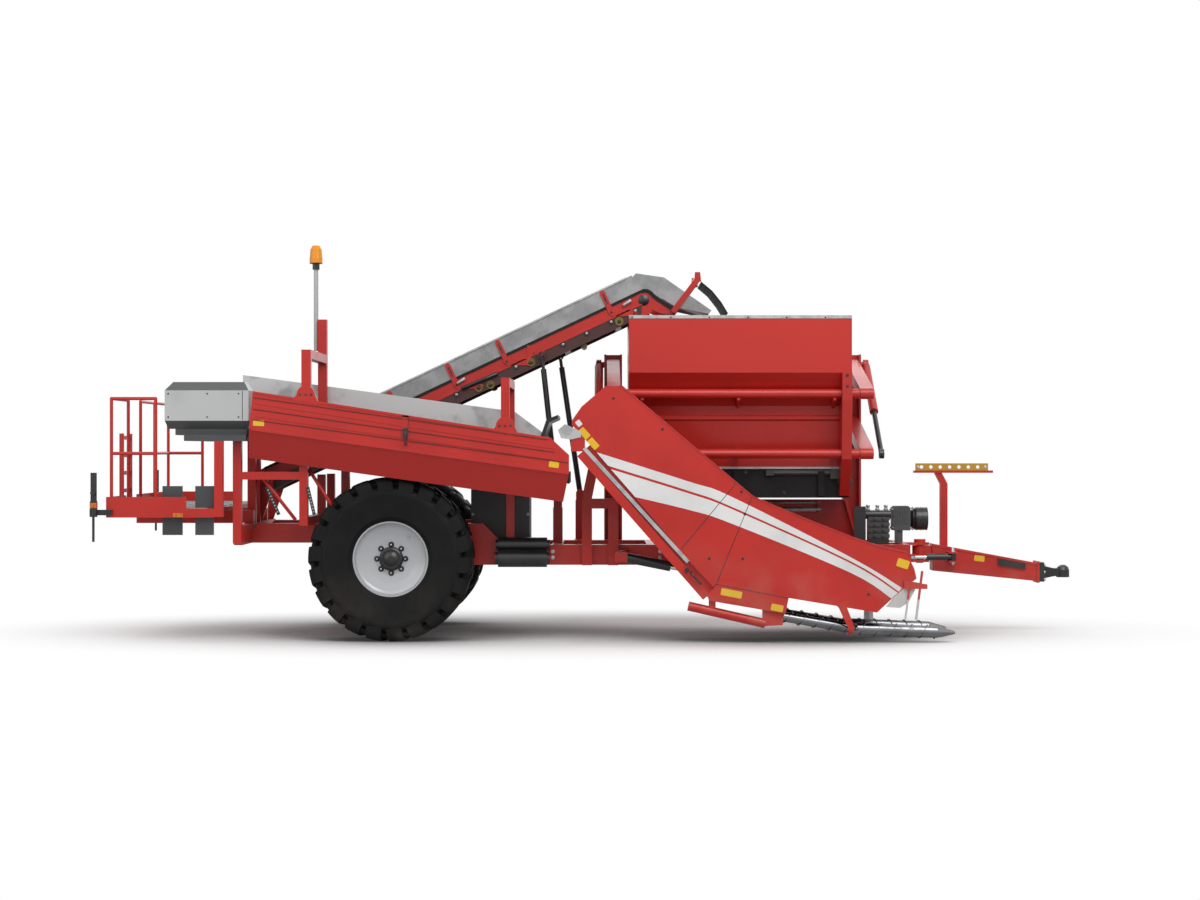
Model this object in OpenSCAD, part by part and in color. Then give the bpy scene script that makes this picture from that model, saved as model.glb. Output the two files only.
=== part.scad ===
// Trailed single-row vegetable harvester with a lifting bunker, in millimetres.
// +X is forward, +Y is the left side, +Z is up, and the ground is Z = 0.
// The origin is on the ground, under the middle of the machine's outline.

/* [Wheels] */
// Outer diameter of a tyre over its lugs
tyre_d = 1490; // [1440:10:1500]
// Width of a tyre
tyre_w = 550; // [500:10:560]
// Diameter of the rim at the tyre's bead
rim_d = 686; // [640:2:720]
// Distance from the centre plane to the middle of a wheel
wheel_y = 925; // [915:5:940]
// Number of lugs around each shoulder
lug_count = 22; // [16:1:24]
// Height of a lug
lug_h = 18; // [16:1:32]

/* [Frame] */
// Distance from the centre plane to the middle of a rail
rail_y = 520; // [500:5:525]
// Width of a rail
rail_w = 120; // [80:5:120]
// Height of the rails' upper face in front
rail_top = 853; // [840:1:860]
// Depth of the rails in front
rail_h = 187; // [150:1:200]

/* [Drawbar] */
// Width of the drawbar beam
drawbar_w = 190; // [140:5:200]
// Diameter of the ball that the coupling takes
ball_d = 80; // [50:5:80]
// Length of the hose rack
rack_l = 700; // [500:10:720]

/* [Pick-up] */
// Thickness of the pick-up's side panels
panel_t = 30; // [12:1:40]
// Outer diameter of the auger flights on the torpedoes
flight_d = 128; // [118:1:132]
// Pitch of the auger flights
flight_pitch = 138; // [120:2:160]

/* [Bunker] */
// Thickness of the bunker's walls
wall_t = 40; // [20:1:50]
// Height of the bunker's rim
rim_z = 2987; // [2950:1:2990]
// Thickness of the lift arms across the machine's length
arm_w = 125; // [100:1:126]
// Depth of the lift arms
arm_h = 105; // [80:1:108]

/* [Platform] */
// Height of the guard rails above the deck
guard_h = 986; // [900:1:1050]
// Diameter of the guard rails
guard_d = 30; // [24:1:40]
// Number of ladder rungs
rung_count = 4; // [3:1:6]

/* [Hidden] */
$fn = 48;
gap = 0.3;

// wheels
axle_x = -1860;
tyre_r = tyre_d / 2;
axle_z = tyre_r;
bead_r = rim_d / 2;
spindle_r = 45;
hub_in = 640;

// rails and rear frame
rail_in = rail_y - rail_w / 2;
rail_out = rail_y + rail_w / 2;
rail_bottom = rail_top - rail_h;
rear_x = -3240;
rear_top = 1051;
rear_bottom = 872;
front_x = 2870;
nose_x = 2930;
pivot_x = 3100;
ear_r = 90;
ear_t = 24;
pivot_pin_r = 35;

// steering cylinder: pins as [x, y] seen from above
steer_frame = [2990, -215];
steer_pin = [3383, -200];
steer_z = 720;
post_w = 76;

// lift arms and masts: pivots in the plane across the machine, as [y, z]
arm_x = [170, 2533];
pivot_far_up = [770, 2580];
pivot_far_low = [770, 2018];
pivot_near_up = [-480, 2262];
pivot_near_low = [-480, 1700];
arm_pin_r = 30;
arm_eye_r = 52;

// pick-up: points as [x, z] in the side view
hinge = [140, 2090];
pick_near = -1320;
pick_far = -705;
pick_lift_pin = [256, 754];
pick_lift_eye = [837, 637];
pick_lift_y = -900;

// elevator: points as [x, z] in the side view
elev_pivot = [-3145, 1438];
elev_near = 50;
elev_far = 750;
elev_slope = 25.2;
elev_len = 4026;
elev_tip = elev_pivot + elev_len * [cos(elev_slope), sin(elev_slope)];
elev_low_right = [-363, 1255];
elev_top_right = [-516, 2642];
elev_cyl_right = 0;
elev_low_left = [-158, 1308];
elev_top_left = [-357, 2668];
elev_cyl_left = 800;
conveyor_z = [1816, 1870];

red = [0.72, 0.19, 0.17];
grey = [0.70, 0.70, 0.70];
dark = [0.28, 0.28, 0.29];
black = [0.10, 0.10, 0.10];
steel = [0.78, 0.79, 0.80];

// Box given by its span on each axis.
module box(x, y, z) {
  translate([x[0], y[0], z[0]])
    cube([x[1] - x[0], y[1] - y[0], z[1] - z[0]]);
}

// Side-view outline of [x, z] points, as thick as the span y.
module side(points, y) {
  translate([0, y[1], 0])
    rotate([90, 0, 0])
      linear_extrude(y[1] - y[0])
        polygon(points);
}

// Outline of [y, z] points, as long as the span x.
module section(points, x) {
  translate([x[0], 0, 0])
    rotate([90, 0, 90])
      linear_extrude(x[1] - x[0])
        polygon(points);
}

// Round bar between two points.
module rod(a, b, r) {
  v = b - a;
  translate(a)
    rotate([0, acos(v[2] / norm(v)), atan2(v[1], v[0])])
      cylinder(r = r, h = norm(v));
}

// Cylinder across the machine at [x, z].
module across(p, y, r) {
  translate([p[0], y[1], p[1]])
    rotate([90, 0, 0])
      cylinder(r = r, h = y[1] - y[0]);
}

// Cylinder along the machine at [y, z].
module along(p, x, r) {
  translate([x[0], p[0], p[1]])
    rotate([0, 90, 0])
      cylinder(r = r, h = x[1] - x[0]);
}

// Corners of a straight flat bar of width w between two points in a plane.
function bar(a, b, w) =
  let (u = (b - a) / norm(b - a), n = [-u[1], u[0]] * w / 2)
  [a - n, b - n, b + n, a + n];

// Span of half width h around c.
function around(c, h) = [c - h, c + h];

// Span of y on the right side (s = -1) or the left side (s = 1).
function span(s, a, b) = s > 0 ? [a, b] : [-b, -a];

function turn_of(v) = atan2(v[1], v[0]);

// Frame

rail_outline = [
  [rear_x + 40, rear_bottom], [rear_x + 40, rear_top - 60], [rear_x + 100, rear_top],
  [-1050, rear_top], [-850, rail_top], [front_x, rail_top], [front_x, rail_bottom],
  [-1150, rail_bottom], [-1350, rear_bottom]
];

module frame_rails() {
  color(red)
    for (s = [-1, 1])
      side(rail_outline, span(s, rail_in, rail_out));
}

module crossbeams() {
  inner = [-rail_in, rail_in];
  color(red) {
    for (x = [-1130, -690, 520, 1480, 2520])
      box([x - 45, x + 45], inner, [rail_bottom + 20, rail_top]);
    box([-410, -310], inner, [rail_bottom + 20, rail_top]);
    box([-2320, -2230], inner, [rear_bottom + 20, rear_top]);
    box([rear_x - 40, rear_x + 40], [-1112, 920], [rear_bottom, rear_top]);
    box([front_x, nose_x], [-rail_out, rail_out], [rail_bottom, rail_top]);
    for (z = [rail_bottom, rail_top - ear_t])
      pivot_ear(z);
    translate([pivot_x, 0, rail_bottom - 10])
      cylinder(r = pivot_pin_r, h = rail_h + 20);
    translate([pivot_x, 0, rail_top])
      cylinder(r = 55, h = 30);
    steer_bracket();
  }
}

// Ear of the drawbar pivot from height z.
module pivot_ear(z) {
  translate([pivot_x, 0, z])
    cylinder(r = ear_r, h = ear_t);
  box([nose_x - 10, pivot_x], [-ear_r, ear_r], [z, z + ear_t]);
}

// Ears and pin on the frame that the steering rod's eye sits around.
module steer_bracket() {
  x = steer_frame[0];
  y = steer_frame[1];
  for (z = [steer_z - 30, steer_z + 16])
    box([nose_x - 10, x + 40], [y - 40, y + 40], [z, z + 14]);
  translate([x, y, steer_z - 30])
    cylinder(r = 16, h = 60);
}

// Axle with a spindle on each side.
module axle() {
  color(dark) {
    box([axle_x - 75, axle_x + 75], [-hub_in, hub_in], [axle_z - 75, axle_z + 75]);
    for (s = [-1, 1]) {
      box([axle_x - 110, axle_x + 110], span(s, rail_in, rail_out), [axle_z, rear_bottom]);
      across([axle_x, axle_z], span(s, hub_in - 10, wheel_y + 40), spindle_r);
    }
  }
}

// Masts: channels open to the right that hold the arms' far eyes.
cheek_t = 20;
cheek_gap = 6;
mast_half = arm_w / 2 + cheek_gap + cheek_t;
mast_y = [700, 850];
mast_top = 2680;

module mast(x, out) {
  far = [x - mast_half, x + mast_half];
  box(far, [rail_out, mast_y[1]], [rail_bottom, rail_top]);
  box(far, [mast_y[1] - 20, mast_y[1]], [rail_top, mast_top]);
  for (c = [far[0], far[1] - cheek_t])
    box([c, c + cheek_t], mast_y, [rail_top, mast_top]);
  along(pivot_far_low, far, arm_pin_r);
  along(pivot_far_up, out > 0 ? far + [0, lift_pin_l] : far - [lift_pin_l, 0], arm_pin_r);
}

module masts() {
  color(red) {
    mast(arm_x[0], -1);
    mast(arm_x[1], 1);
  }
}

// Posts at the back that carry the table, the cross conveyor and the elevator's foot.
module rear_posts() {
  color(red) {
    for (y = [-315, -40])
      box(around(rear_x, 38), around(y, 38), [rear_top, conveyor_z[0]]);
    box(around(rear_x, 38), [-1188, -1112], [887, conveyor_z[0]]);
    box([-2678, -2602], [-1188, 920], [rear_top, rear_top + post_w]);
    for (y = [92, 842])
      box([-2678, -2602], [y, y + post_w], [rear_top + post_w, 1500]);
    for (y = [elev_near - 46, elev_far + 10])
      elevator_foot(y);
  }
}

// Upright that carries the elevator's pivot pin, 36 thick from y.
module elevator_foot(y) {
  difference() {
    side([[rear_x - 35, rear_top], [rear_x + 40, rear_top], elev_pivot + [60, -40],
          elev_pivot + [60, 60], elev_pivot + [-55, 60]], [y, y + 36]);
    across(elev_pivot, [y - 1, y + 37], 25 + gap);
  }
}

// Height of the sorting table's upper face at x.
function bed_z(x) = 1930 - (x + 3101) * 399 / 2864;
bed_t = 100;

// Upright from height z0 to the underside of the sorting table.
module table_post(x, y, z0) {
  side([[x[0], z0], [x[1], z0], [x[1], bed_z(x[1]) - bed_t], [x[0], bed_z(x[0]) - bed_t]], y);
}

// Posts that carry the sorting table.
module table_posts() {
  color(red) {
    table_post([-833, -757], [-rail_out, -rail_out + post_w], rail_top);
    table_post([-2370, -2294], [-rail_out, -rail_out + post_w], rear_top);
    table_post([-2678, -2602], [-1188, -1112], rear_top + post_w);
    box([-3202, -2678], [-1188, -1112], [1467, 1537]);
  }
}

// Posts between the frame and the pick-up's hinge.
module pickup_posts() {
  y = [-665, -600];
  color(red) {
    box([-127, 210], [-600, -rail_out], [rail_bottom + 20, rail_top]);
    side([[-127, rail_bottom], [-34, rail_bottom], [-34, 1290], [90, 1900], [90, 1960], [10, 1960],
          [-127, 1290]], y);
    side([[114, rail_bottom], [210, rail_bottom], [210, 1284], [114, 1284]], y);
    box([-34, 114], y, [1192, 1284]);
    difference() {
      side([[10, 1900], [120, 1900], hinge + [70, 0], hinge + [50, 60], hinge + [-50, 60],
            hinge + [-80, -60]], y);
      across(hinge, [y[0] - 1, y[1] + 1], 40 + gap);
    }
    hull() {
      box([200, 310], [-rail_out - 20, -rail_out], [700, 810]);
      box([pick_lift_pin[0] - 45, pick_lift_pin[0] - 30], [pick_lift_y + 48, pick_lift_y + 68], [710, 800]);
    }
    for (y2 = [pick_lift_y - 68, pick_lift_y + 48])
      side(bar(pick_lift_pin + [-45, 0], pick_lift_pin + [35, 0], 90), [y2, y2 + 20]);
    box([pick_lift_pin[0] - 80, pick_lift_pin[0] - 45], around(pick_lift_y, 68), [709, 799]);
    across(pick_lift_pin, around(pick_lift_y, 68), 20);
  }
}

// Pedestals of the elevator's cylinders.
module cylinder_stands() {
  color(red) {
    cylinder_stand(elev_low_right, elev_cyl_right);
    box(around(elev_low_left[0], 60), [rail_out, elev_cyl_left + 60], [rail_bottom + 20, rail_top]);
    cylinder_stand(elev_low_left, elev_cyl_left);
  }
}

// Pedestal on the frame with two ears and a pin at [x, z], centred on y.
module cylinder_stand(p, y) {
  box(around(p[0], 45), around(y, 50), [rail_top, p[1] - 70]);
  for (c = [-50, 32])
    side([p + [-40, -80], p + [40, -80], p + [40, 10], p + [15, 40], p + [-15, 40], p + [-40, 10]],
         [y + c, y + c + 18]);
  across(p, around(y, 50), 16);
}

// Wheels: built with the axis along +Z, the outer side up.

function arc(c, r, a0, a1, n) = [for (i = [0 : n]) c + r * [cos(a0 + (a1 - a0) * i / n),
                                                          sin(a0 + (a1 - a0) * i / n)]];

tread_r = tyre_r - lug_h;
half_w = tyre_w / 2;
shoulder = 70;

// Half of the carcass outline as [radius, height], from the bead to the crown.
carcass = concat(
  [[bead_r, half_w * 0.70], [bead_r + 40, half_w * 0.86]],
  arc([tread_r - shoulder - 60, half_w - 60], 60, 100, 0, 4),
  arc([tread_r - shoulder, half_w - shoulder - 30], shoulder, 60, 0, 3)
);

function flip(points) = [for (i = [len(points) - 1 : -1 : 0]) [points[i][0], -points[i][1]]];

module tyre() {
  lug_l = half_w * 0.80;
  lug_b = 0.62 * 360 / lug_count;
  rotate_extrude($fn = 96)
    polygon(concat([[bead_r, 0]], carcass, [[tread_r, 0]], flip(carcass)));
  intersection() {
    rotate_extrude($fn = 96)
      polygon(concat(lug_top, flip(lug_top)));
    for (s = [0, 1], i = [0 : lug_count - 1])
      rotate([0, 0, (i + s / 2) * 360 / lug_count])
        mirror([0, 0, s])
          lug(lug_l, tyre_r * PI / 180 * lug_b);
  }
}

// Outline of the lugs' tips as [radius, height].
lug_top = concat([[tread_r - 120, half_w - 4]],
                 arc([tyre_r - 60, half_w - 64], 60, 90, 0, 4));

// One lug from near the middle to the shoulder, leaning a little.
module lug(l, b) {
  translate([tread_r - 110, 0, half_w - l])
    rotate([14, 0, 0])
      translate([0, -b / 2, 0])
        cube([150, b, l + 40]);
}

module rim() {
  difference() {
    rotate_extrude($fn = 72)
      polygon([[0, -hub_depth], [130, -hub_depth], [140, -60], [140, 76], [bead_r - 50, 116],
               [bead_r - 36, 116], [bead_r - 36, -half_w * 0.68], [bead_r - gap, -half_w * 0.68],
               [bead_r - gap, half_w * 0.70], [bead_r - 14, half_w * 0.70], [bead_r - 24, half_w * 0.64],
               [bead_r - 28, 148], [bead_r - 48, 139], [220, 122], [142, 112], [102, 112], [102, 146],
               [90, 154], [0, 154]]);
    translate([0, 0, -hub_depth - 1])
      cylinder(r = spindle_r + gap, h = hub_depth + 46);
  }
}

hub_depth = wheel_y - hub_in - 1;

module place_wheel(s) {
  translate([axle_x, s * wheel_y, axle_z])
    rotate([-s * 90, 0, 0])
      children();
}

module tyre_right() { color(black) place_wheel(-1) tyre(); }
module tyre_left() { color(black) place_wheel(1) tyre(); }
module rim_right() { color(grey) place_wheel(-1) rim(); }
module rim_left() { color(grey) place_wheel(1) rim(); }

// Parking jack under the front of the frame.
jack = [2640, 250];
jack_r = 45;
sleeve_z = [520, 860];

module jack_sleeve() {
  color(dark) {
    difference() {
      translate([jack[0], jack[1], sleeve_z[0]])
        cylinder(r = jack_r + 18, h = sleeve_z[1] - sleeve_z[0]);
      translate([jack[0], jack[1], sleeve_z[0] - 1])
        cylinder(r = jack_r + gap, h = 540);
    }
    box([2565, jack[0] - jack_r - 8], around(jack[1], 50), [rail_bottom + 20, rail_top]);
  }
}

module jack_leg() {
  color(black)
    translate([jack[0], jack[1], 0]) {
      translate([0, 0, 20])
        cylinder(r = jack_r, h = 780);
      cylinder(r = 120, h = 20);
    }
}

// Drawbar

drawbar_rear = pivot_x + 108;
drawbar_end = 4203;
coupling_z = 567;
sleeve_r = 72;

module drawbar() {
  w = drawbar_w / 2;
  color(red) {
    difference() {
      union() {
        side([[drawbar_rear, 842], [drawbar_end, 658], [drawbar_end, 486], [drawbar_rear, 586]], [-w, w]);
        translate([pivot_x, 0, rail_bottom + ear_t + 6])
          cylinder(r = sleeve_r, h = rail_h - 2 * ear_t - 12);
        box([pivot_x, drawbar_rear + 10], [-w + 30, w - 30],
            [rail_bottom + ear_t + 6, rail_top - ear_t - 6]);
      }
      translate([pivot_x, 0, 0])
        cylinder(r = pivot_pin_r + gap, h = 1000);
    }
    box([drawbar_end, drawbar_end + 24], [-w - 10, w + 10], [470, 674]);
    for (z = [steer_z - 48, steer_z + 34])
      box([steer_pin[0] - 40, steer_pin[0] + 40], [steer_pin[1] - 40, -w], [z, z + 14]);
    translate([steer_pin[0], steer_pin[1], steer_z - 48])
      cylinder(r = 16, h = 96);
    side([[3830, 700], [4090, 655], [4090, 600], [3830, 640]], [-w - 22, -w]);
  }
}

// Ball coupling: flange, neck and cup with a spherical seat.
module coupling() {
  x0 = drawbar_end + 24;
  cup_x = 4468;
  color(black) {
    box([x0, x0 + 46], [-95, 95], [480, 664]);
    difference() {
      union() {
        hull() {
          box([x0 + 40, x0 + 46], [-70, 70], [510, 630]);
          box([x0 + 130, x0 + 150], [-45, 45], [530, 605]);
        }
        box([x0 + 140, cup_x], [-45, 45], [530, 605]);
        translate([cup_x, 0, 0])
          rotate_extrude()
            polygon([[0, 520], [62, 520], [62, 590], [50, 618], [28, 634], [0, 640]]);
      }
      translate([cup_x, 0, coupling_z - 12])
        sphere(d = ball_d + 1);
      translate([cup_x, 0, 500])
        cylinder(d = ball_d + 1, h = coupling_z - 512);
    }
  }
}

// Hose rack: bent post on the drawbar's left side, channel and drilled plate.
module hose_rack() {
  x0 = rack_end - rack_l;
  y = [rack_y - 34, rack_y + 34];
  post = [rack_end - 457, rack_end - 388];
  color(red) {
    box(post, [drawbar_w / 2, y[1]], [690, 760]);
    box(post, y, [690, 1410]);
    side([[post[0], 1410], [post[1], 1410], [post[1] - 55, 1516], [post[0] - 55, 1516]], y);
    box([x0 - 10, rack_end + 48], around(rack_y, 45), [1515, 1538]);
    difference() {
      box([x0, rack_end], [rack_y - 45, rack_y - 39], [1538, 1607]);
      for (x = [x0 + 60 : 90 : rack_end - 40])
        across([x, 1572], [rack_y - 60, rack_y], 16);
    }
  }
}

rack_y = 150;
rack_end = 3773;

// Hydraulic cylinders, built along +X from the barrel's pin, with the pins along Z.

// Barrel with its eye at the origin and a bore from bore_x to its open end.
module barrel(l, r, rod_r, eye_r, pin_r, t) {
  difference() {
    union() {
      translate([0, 0, -t / 2])
        cylinder(r = eye_r, h = t);
      translate([eye_r * 0.6, 0, 0])
        rotate([0, 90, 0])
          cylinder(r = r, h = l - eye_r * 0.6);
    }
    translate([0, 0, -t])
      cylinder(r = pin_r + gap, h = 2 * t);
    translate([eye_r + 12, 0, 0])
      rotate([0, 90, 0])
        cylinder(r = rod_r + gap, h = l);
  }
}

// Rod of length l that ends in an eye at the origin, pointing back along -X.
module piston_rod(l, r, eye_r, hole_r, t) {
  difference() {
    union() {
      translate([0, 0, -t / 2])
        cylinder(r = eye_r, h = t);
      translate([-l, 0, 0])
        rotate([0, 90, 0])
          cylinder(r = r, h = l - (eye_r + hole_r) / 2);
    }
    translate([0, 0, -t])
      cylinder(r = hole_r, h = 2 * t);
  }
}

steer_v = steer_frame - steer_pin;

module steer_barrel() {
  color(black)
    translate([steer_pin[0], steer_pin[1], steer_z])
      rotate([0, 0, turn_of(steer_v)])
        barrel(250, 32, 16, 32, 16, 64);
}

module steer_rod() {
  color(steel)
    translate([steer_frame[0], steer_frame[1], steer_z])
      rotate([0, 0, turn_of(steer_v)])
        piston_rod(245, 16, 42, 28, 26);
}

// Drive at the front

pto_z = 1079;
pto_r = 17.45;

module gearbox() {
  color(dark)
    difference() {
      union() {
        box([2835, 2997], [-110, 110], [969, 1189]);
        box([2870, 2925], [-90, 90], [rail_top, 969]);
      }
      along([0, pto_z], [2930, 3000], pto_r + gap);
    }
}

// Bell-shaped guard around the input shaft, open to the front.
module pto_shield() {
  color(black)
    translate([2997, 0, pto_z])
      rotate([0, 90, 0])
        rotate_extrude()
          polygon([[60, 0], [72, 0], [110, 60], [110, 168], [104, 168], [104, 64], [64, 8], [60, 8]]);
}

module pto_shaft() {
  color(steel) {
    along([0, pto_z], [2932, 3140], pto_r);
    along([0, pto_z], [3000, 3030], 30);
  }
}

module valve_block() {
  color(dark) {
    box([2565, 2870], [-150, 100], [800, rail_top]);
    box([2600, 2790], [-120, 60], [rail_top, 1090]);
    for (y = [-75, 15])
      along([y, 1120], [2560, 2810], 42);
    box([2450, 2560], [-200, -185], [rail_top, 1200]);
    box([2475, 2560], [-185, -140], [rail_top, 900]);
  }
}

module oil_tank() {
  color(dark) {
    box([-1177, -625], [-300, 300], [rail_top, 1420]);
    translate([-900, 150, 1420])
      cylinder(r = 60, h = 40);
  }
}

module pressure_vessels() {
  color(black) {
    for (v = [[-760, 735, 80], [-655, 856, 70]]) {
      along([v[0], v[1]], [-900, -450], v[2]);
      along([v[0], v[1]], [-927, -423], v[2] - 22);
    }
    for (x = [-840, -520])
      section([[-rail_out, 690], [-rail_out, 830], [-640, 845], [-740, 760], [-740, 690]], [x, x + 20]);
  }
}

// Pick-up

pick_outline = [
  [-208, 2006], [-125, 2125], [90, 2309], [232, 2309], [1413, 1313], [1835, 1134], [2308, 947],
  [2553, 864], [2792, 811], [2861, 671], [2881, 581], [2668, 407], [2526, 275], [1733, 407],
  [1081, 532], [1059, 503], [842, 733], [351, 1313], [-14, 1744], [-215, 1962]
];
pick_tube_top = [-135, 1706];
pick_tube_low = [995, 417];
pick_web = [56, 49];
pick_cross = [930, 556];

module pickup_panels() {
  color(red) {
    side(pick_outline, [pick_near, pick_near + panel_t]);
    side(pick_outline, [pick_far, pick_far + panel_t]);
    across(hinge, [pick_far, -600], 40);
  }
}

// Conveyor bed below and holding belt above, between the panels.
module pickup_bed() {
  y = [pick_near + panel_t, pick_far];
  color(dark) {
    side([[2500, 300], [1733, 440], [1110, 570], [380, 1340], [20, 1760], [-170, 1975], [-90, 2050],
          [110, 1850], [470, 1430], [1170, 680], [1750, 550], [2520, 400]], y);
    side([[2640, 560], [1790, 760], [1300, 900], [640, 1560], [330, 1960], [200, 2180], [110, 2120],
          [240, 1900], [560, 1490], [1250, 790], [1770, 650], [2620, 450]], y);
  }
}

// Side tubes under the panels, cross tube with ears, skirts and the lower tube.
module pickup_frame() {
  color(red) {
    for (y = [[pick_near, pick_near + 85], [pick_far - 55, pick_far + panel_t]])
      side(bar(pick_tube_top, pick_tube_low, 80), y);
    for (y = [[pick_near + panel_t, pick_near + 85], [pick_far - 55, pick_far]])
      side(bar(pick_tube_top + pick_web, pick_tube_low + pick_web, 110), y);
    across(pick_cross, [pick_near + 60, pick_far], 42);
    for (y = [pick_lift_y - 60, pick_lift_y + 40])
      side(bar(pick_cross, pick_lift_eye + [-18, 16], 84), [y, y + 20]);
    across(pick_lift_eye, around(pick_lift_y, 60), 20);
    for (y = [[pick_near, pick_near + 60], [pick_far - 60, pick_far]])
      side([[1020, 382], [1000, 440], [1052, 490], [1064, 500], [1083, 530], [1733, 406], [1705, 265]], y);
    rod([835, -1255, 330], [1526, -1255, 172], 42);
    side([[1020, 400], [1080, 390], [1080, 280], [1020, 290]], [-1285, -1225]);
    side([[1500, 300], [1683, 275], [1683, 160], [1500, 150]], [pick_near + 30, pick_near + 58]);
  }
}

// Front of the pick-up: deflector, arm, rods and auger bearings.
module pickup_nose() {
  color(grey) {
    side([[2605, 327], [2731, 318], [2803, 363], [2866, 479], [2845, 560], [2668, 407]],
         [pick_near - 14, pick_near]);
    side([[2767, 569], [2973, 530], [2973, 490], [2767, 490]], [pick_near - 40, pick_near - 14]);
    rod([2928, pick_near - 28, 650], [2872, pick_near - 28, 210], 11);
    rod([2814, pick_near - 28, 502], [2776, pick_near - 28, 215], 9);
    side([[2177, 332.8], [2258, 319.3], [2322, 150], [2322, 108], [2276, 108], [2262, 150]],
         [pick_near, pick_near + 14]);
    box([2288, 2308], [pick_near + 13, auger_y[0] - collar_r + 12], [110, 146]);
    side([[2200, 328.9], [2270, 317.2], [2318, 240], [2318, 177], [2298, 177], [2298, 222]],
         [pick_far + 14, pick_far + 28]);
    for (y = auger_y)
      auger_collar(y);
    auger_bearing(auger_y[0], pick_near + 60);
    auger_bearing(auger_y[1], pick_far);
  }
}

// Augers: a rear piece and a torpedo in front, joined by a ball.

auger_y = [-1200, -660];
auger_rear = [1690, 231];
auger_ball = [2327, 122];
auger_tip = [3246, 86];
ball_r = 26;
rear_tube_r = 44;
front_tube_r = 54;
cone_l = 165;
collar_r = 62;
flight_steps = 14;

// Places children at [x, z] in the plane y, with local +X pointing from a to b.
module aim(a, b, y) {
  translate([a[0], y, a[1]])
    rotate([0, -turn_of(b - a), 0])
      children();
}

// Screw flight around +X from r0 to r1.
module flight(l, r0, r1, hand) {
  half = 6;
  rotate([0, 90, 0])
    linear_extrude(height = l, twist = hand * 360 * l / flight_pitch,
                   slices = ceil(l / flight_pitch * flight_steps), segments = 4)
      polygon([for (c = [[r0, -half], [r1, -half], [r1, half], [r0, half]])
               c[0] * [cos(c[1]), sin(c[1])]]);
}

// Bearing block of a rear piece, with a plate that reaches the skirt at y0.
module auger_bearing(y, y0) {
  aim(auger_rear, auger_ball, y)
    difference() {
      translate([-62, -43, -45])
        cube([56, 86, 90]);
      along([0, 0], [-63, 0], 20 + gap);
    }
  box([1634, 1680], [y0, y - 35], [212, 320]);
}

// Collar around the front end of a rear piece.
module auger_collar(y) {
  l = norm(auger_ball - auger_rear);
  aim(auger_rear, auger_ball, y)
    difference() {
      along([0, 0], [l - 44, l - 14], collar_r);
      along([0, 0], [l - 45, l - 13], rear_tube_r + gap);
    }
}

module auger_rear_piece(y, hand) {
  l = norm(auger_ball - auger_rear);
  color(steel)
    aim(auger_rear, auger_ball, y)
      difference() {
        union() {
          along([0, 0], [-58, 10], 20);
          along([0, 0], [0, l], rear_tube_r);
          translate([8, 0, 0])
            flight(l - 60, rear_tube_r - 2, flight_d / 2 - 6, hand);
        }
        translate([l, 0, 0])
          sphere(r = ball_r + gap, $fn = 32);
        translate([l, 0, 0])
          rotate([0, 90, 0])
            translate([0, 0, -6])
              cylinder(r1 = ball_r, r2 = rear_tube_r + 12, h = 12);
      }
}

module auger_front_piece(y, hand) {
  l = norm(auger_tip - auger_ball);
  neck_r = 16;
  color(steel)
    aim(auger_ball, auger_tip, y) {
      rotate([0, 90, 0])
        rotate_extrude()
          polygon(concat(arc([0, 0], ball_r, -90, 50, 10),
                         [[neck_r, ball_r - 4], [neck_r, 34], [front_tube_r, 34],
                          [front_tube_r, l - cone_l], [16, l - 8], [9, l], [0, l]]));
      translate([44, 0, 0])
        flight(l - cone_l - 60, front_tube_r - 2, flight_d / 2, hand);
    }
}

module auger_rear_right() { auger_rear_piece(auger_y[0], 1); }
module auger_front_right() { auger_front_piece(auger_y[0], 1); }
module auger_rear_left() { auger_rear_piece(auger_y[1], -1); }
module auger_front_left() { auger_front_piece(auger_y[1], -1); }

// Places a cylinder's piece in the side view, turned to the angle t.
module in_side(p, y, t) {
  translate([p[0], y, p[1]])
    rotate([90, 0, 0])
      rotate([0, 0, t])
        children();
}

pick_turn = turn_of(pick_lift_eye - pick_lift_pin);

module pickup_barrel() {
  color(black)
    in_side(pick_lift_pin, pick_lift_y, pick_turn)
      barrel(440, 45, 25, 42, 20, 90);
}

module pickup_rod() {
  color(steel)
    in_side(pick_lift_eye, pick_lift_y, pick_turn)
      piston_rod(520, 25, 58, 38, 60);
}

// Sorting table

panel_y = -1380;
bed_inset = 72;
flange_t = 8;
guard_y = [-110, -92];

module table_bed() {
  color(dark)
    side([[-3101, bed_z(-3101)], [-237, bed_z(-237)], [-237, bed_z(-237) - bed_t],
          [-3101, bed_z(-3101) - bed_t]], [panel_y + bed_inset, guard_y[0]]);
}

// Sheet between four corners, t thick in y.
module leaf(corners, t) {
  polyhedron(
    points = concat(corners, [for (c = corners) c + [0, t, 0]]),
    faces = [[0, 1, 2, 3], [7, 6, 5, 4], [0, 4, 5, 1], [1, 5, 6, 2], [2, 6, 7, 3], [3, 7, 4, 0]]
  );
}

module table_panels() {
  low_y = -1250;
  color(red) {
    side([[-3101, bed_z(-3101)], [-3068, 2259], [-401, 1842], [-237, 1690], [-237, bed_z(-237)]],
         [panel_y, panel_y + 20]);
    side([[-3101, bed_z(-3101)], [-237, bed_z(-237)], [-237, bed_z(-237) - flange_t],
          [-3101, bed_z(-3101) - flange_t]], [panel_y + 10, panel_y + bed_inset]);
    leaf([[-3101, panel_y, bed_z(-3101)], [-237, panel_y, bed_z(-237)], [-293, low_y, 1267],
          [-3125, low_y, 1663]], 20);
  }
}

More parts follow.
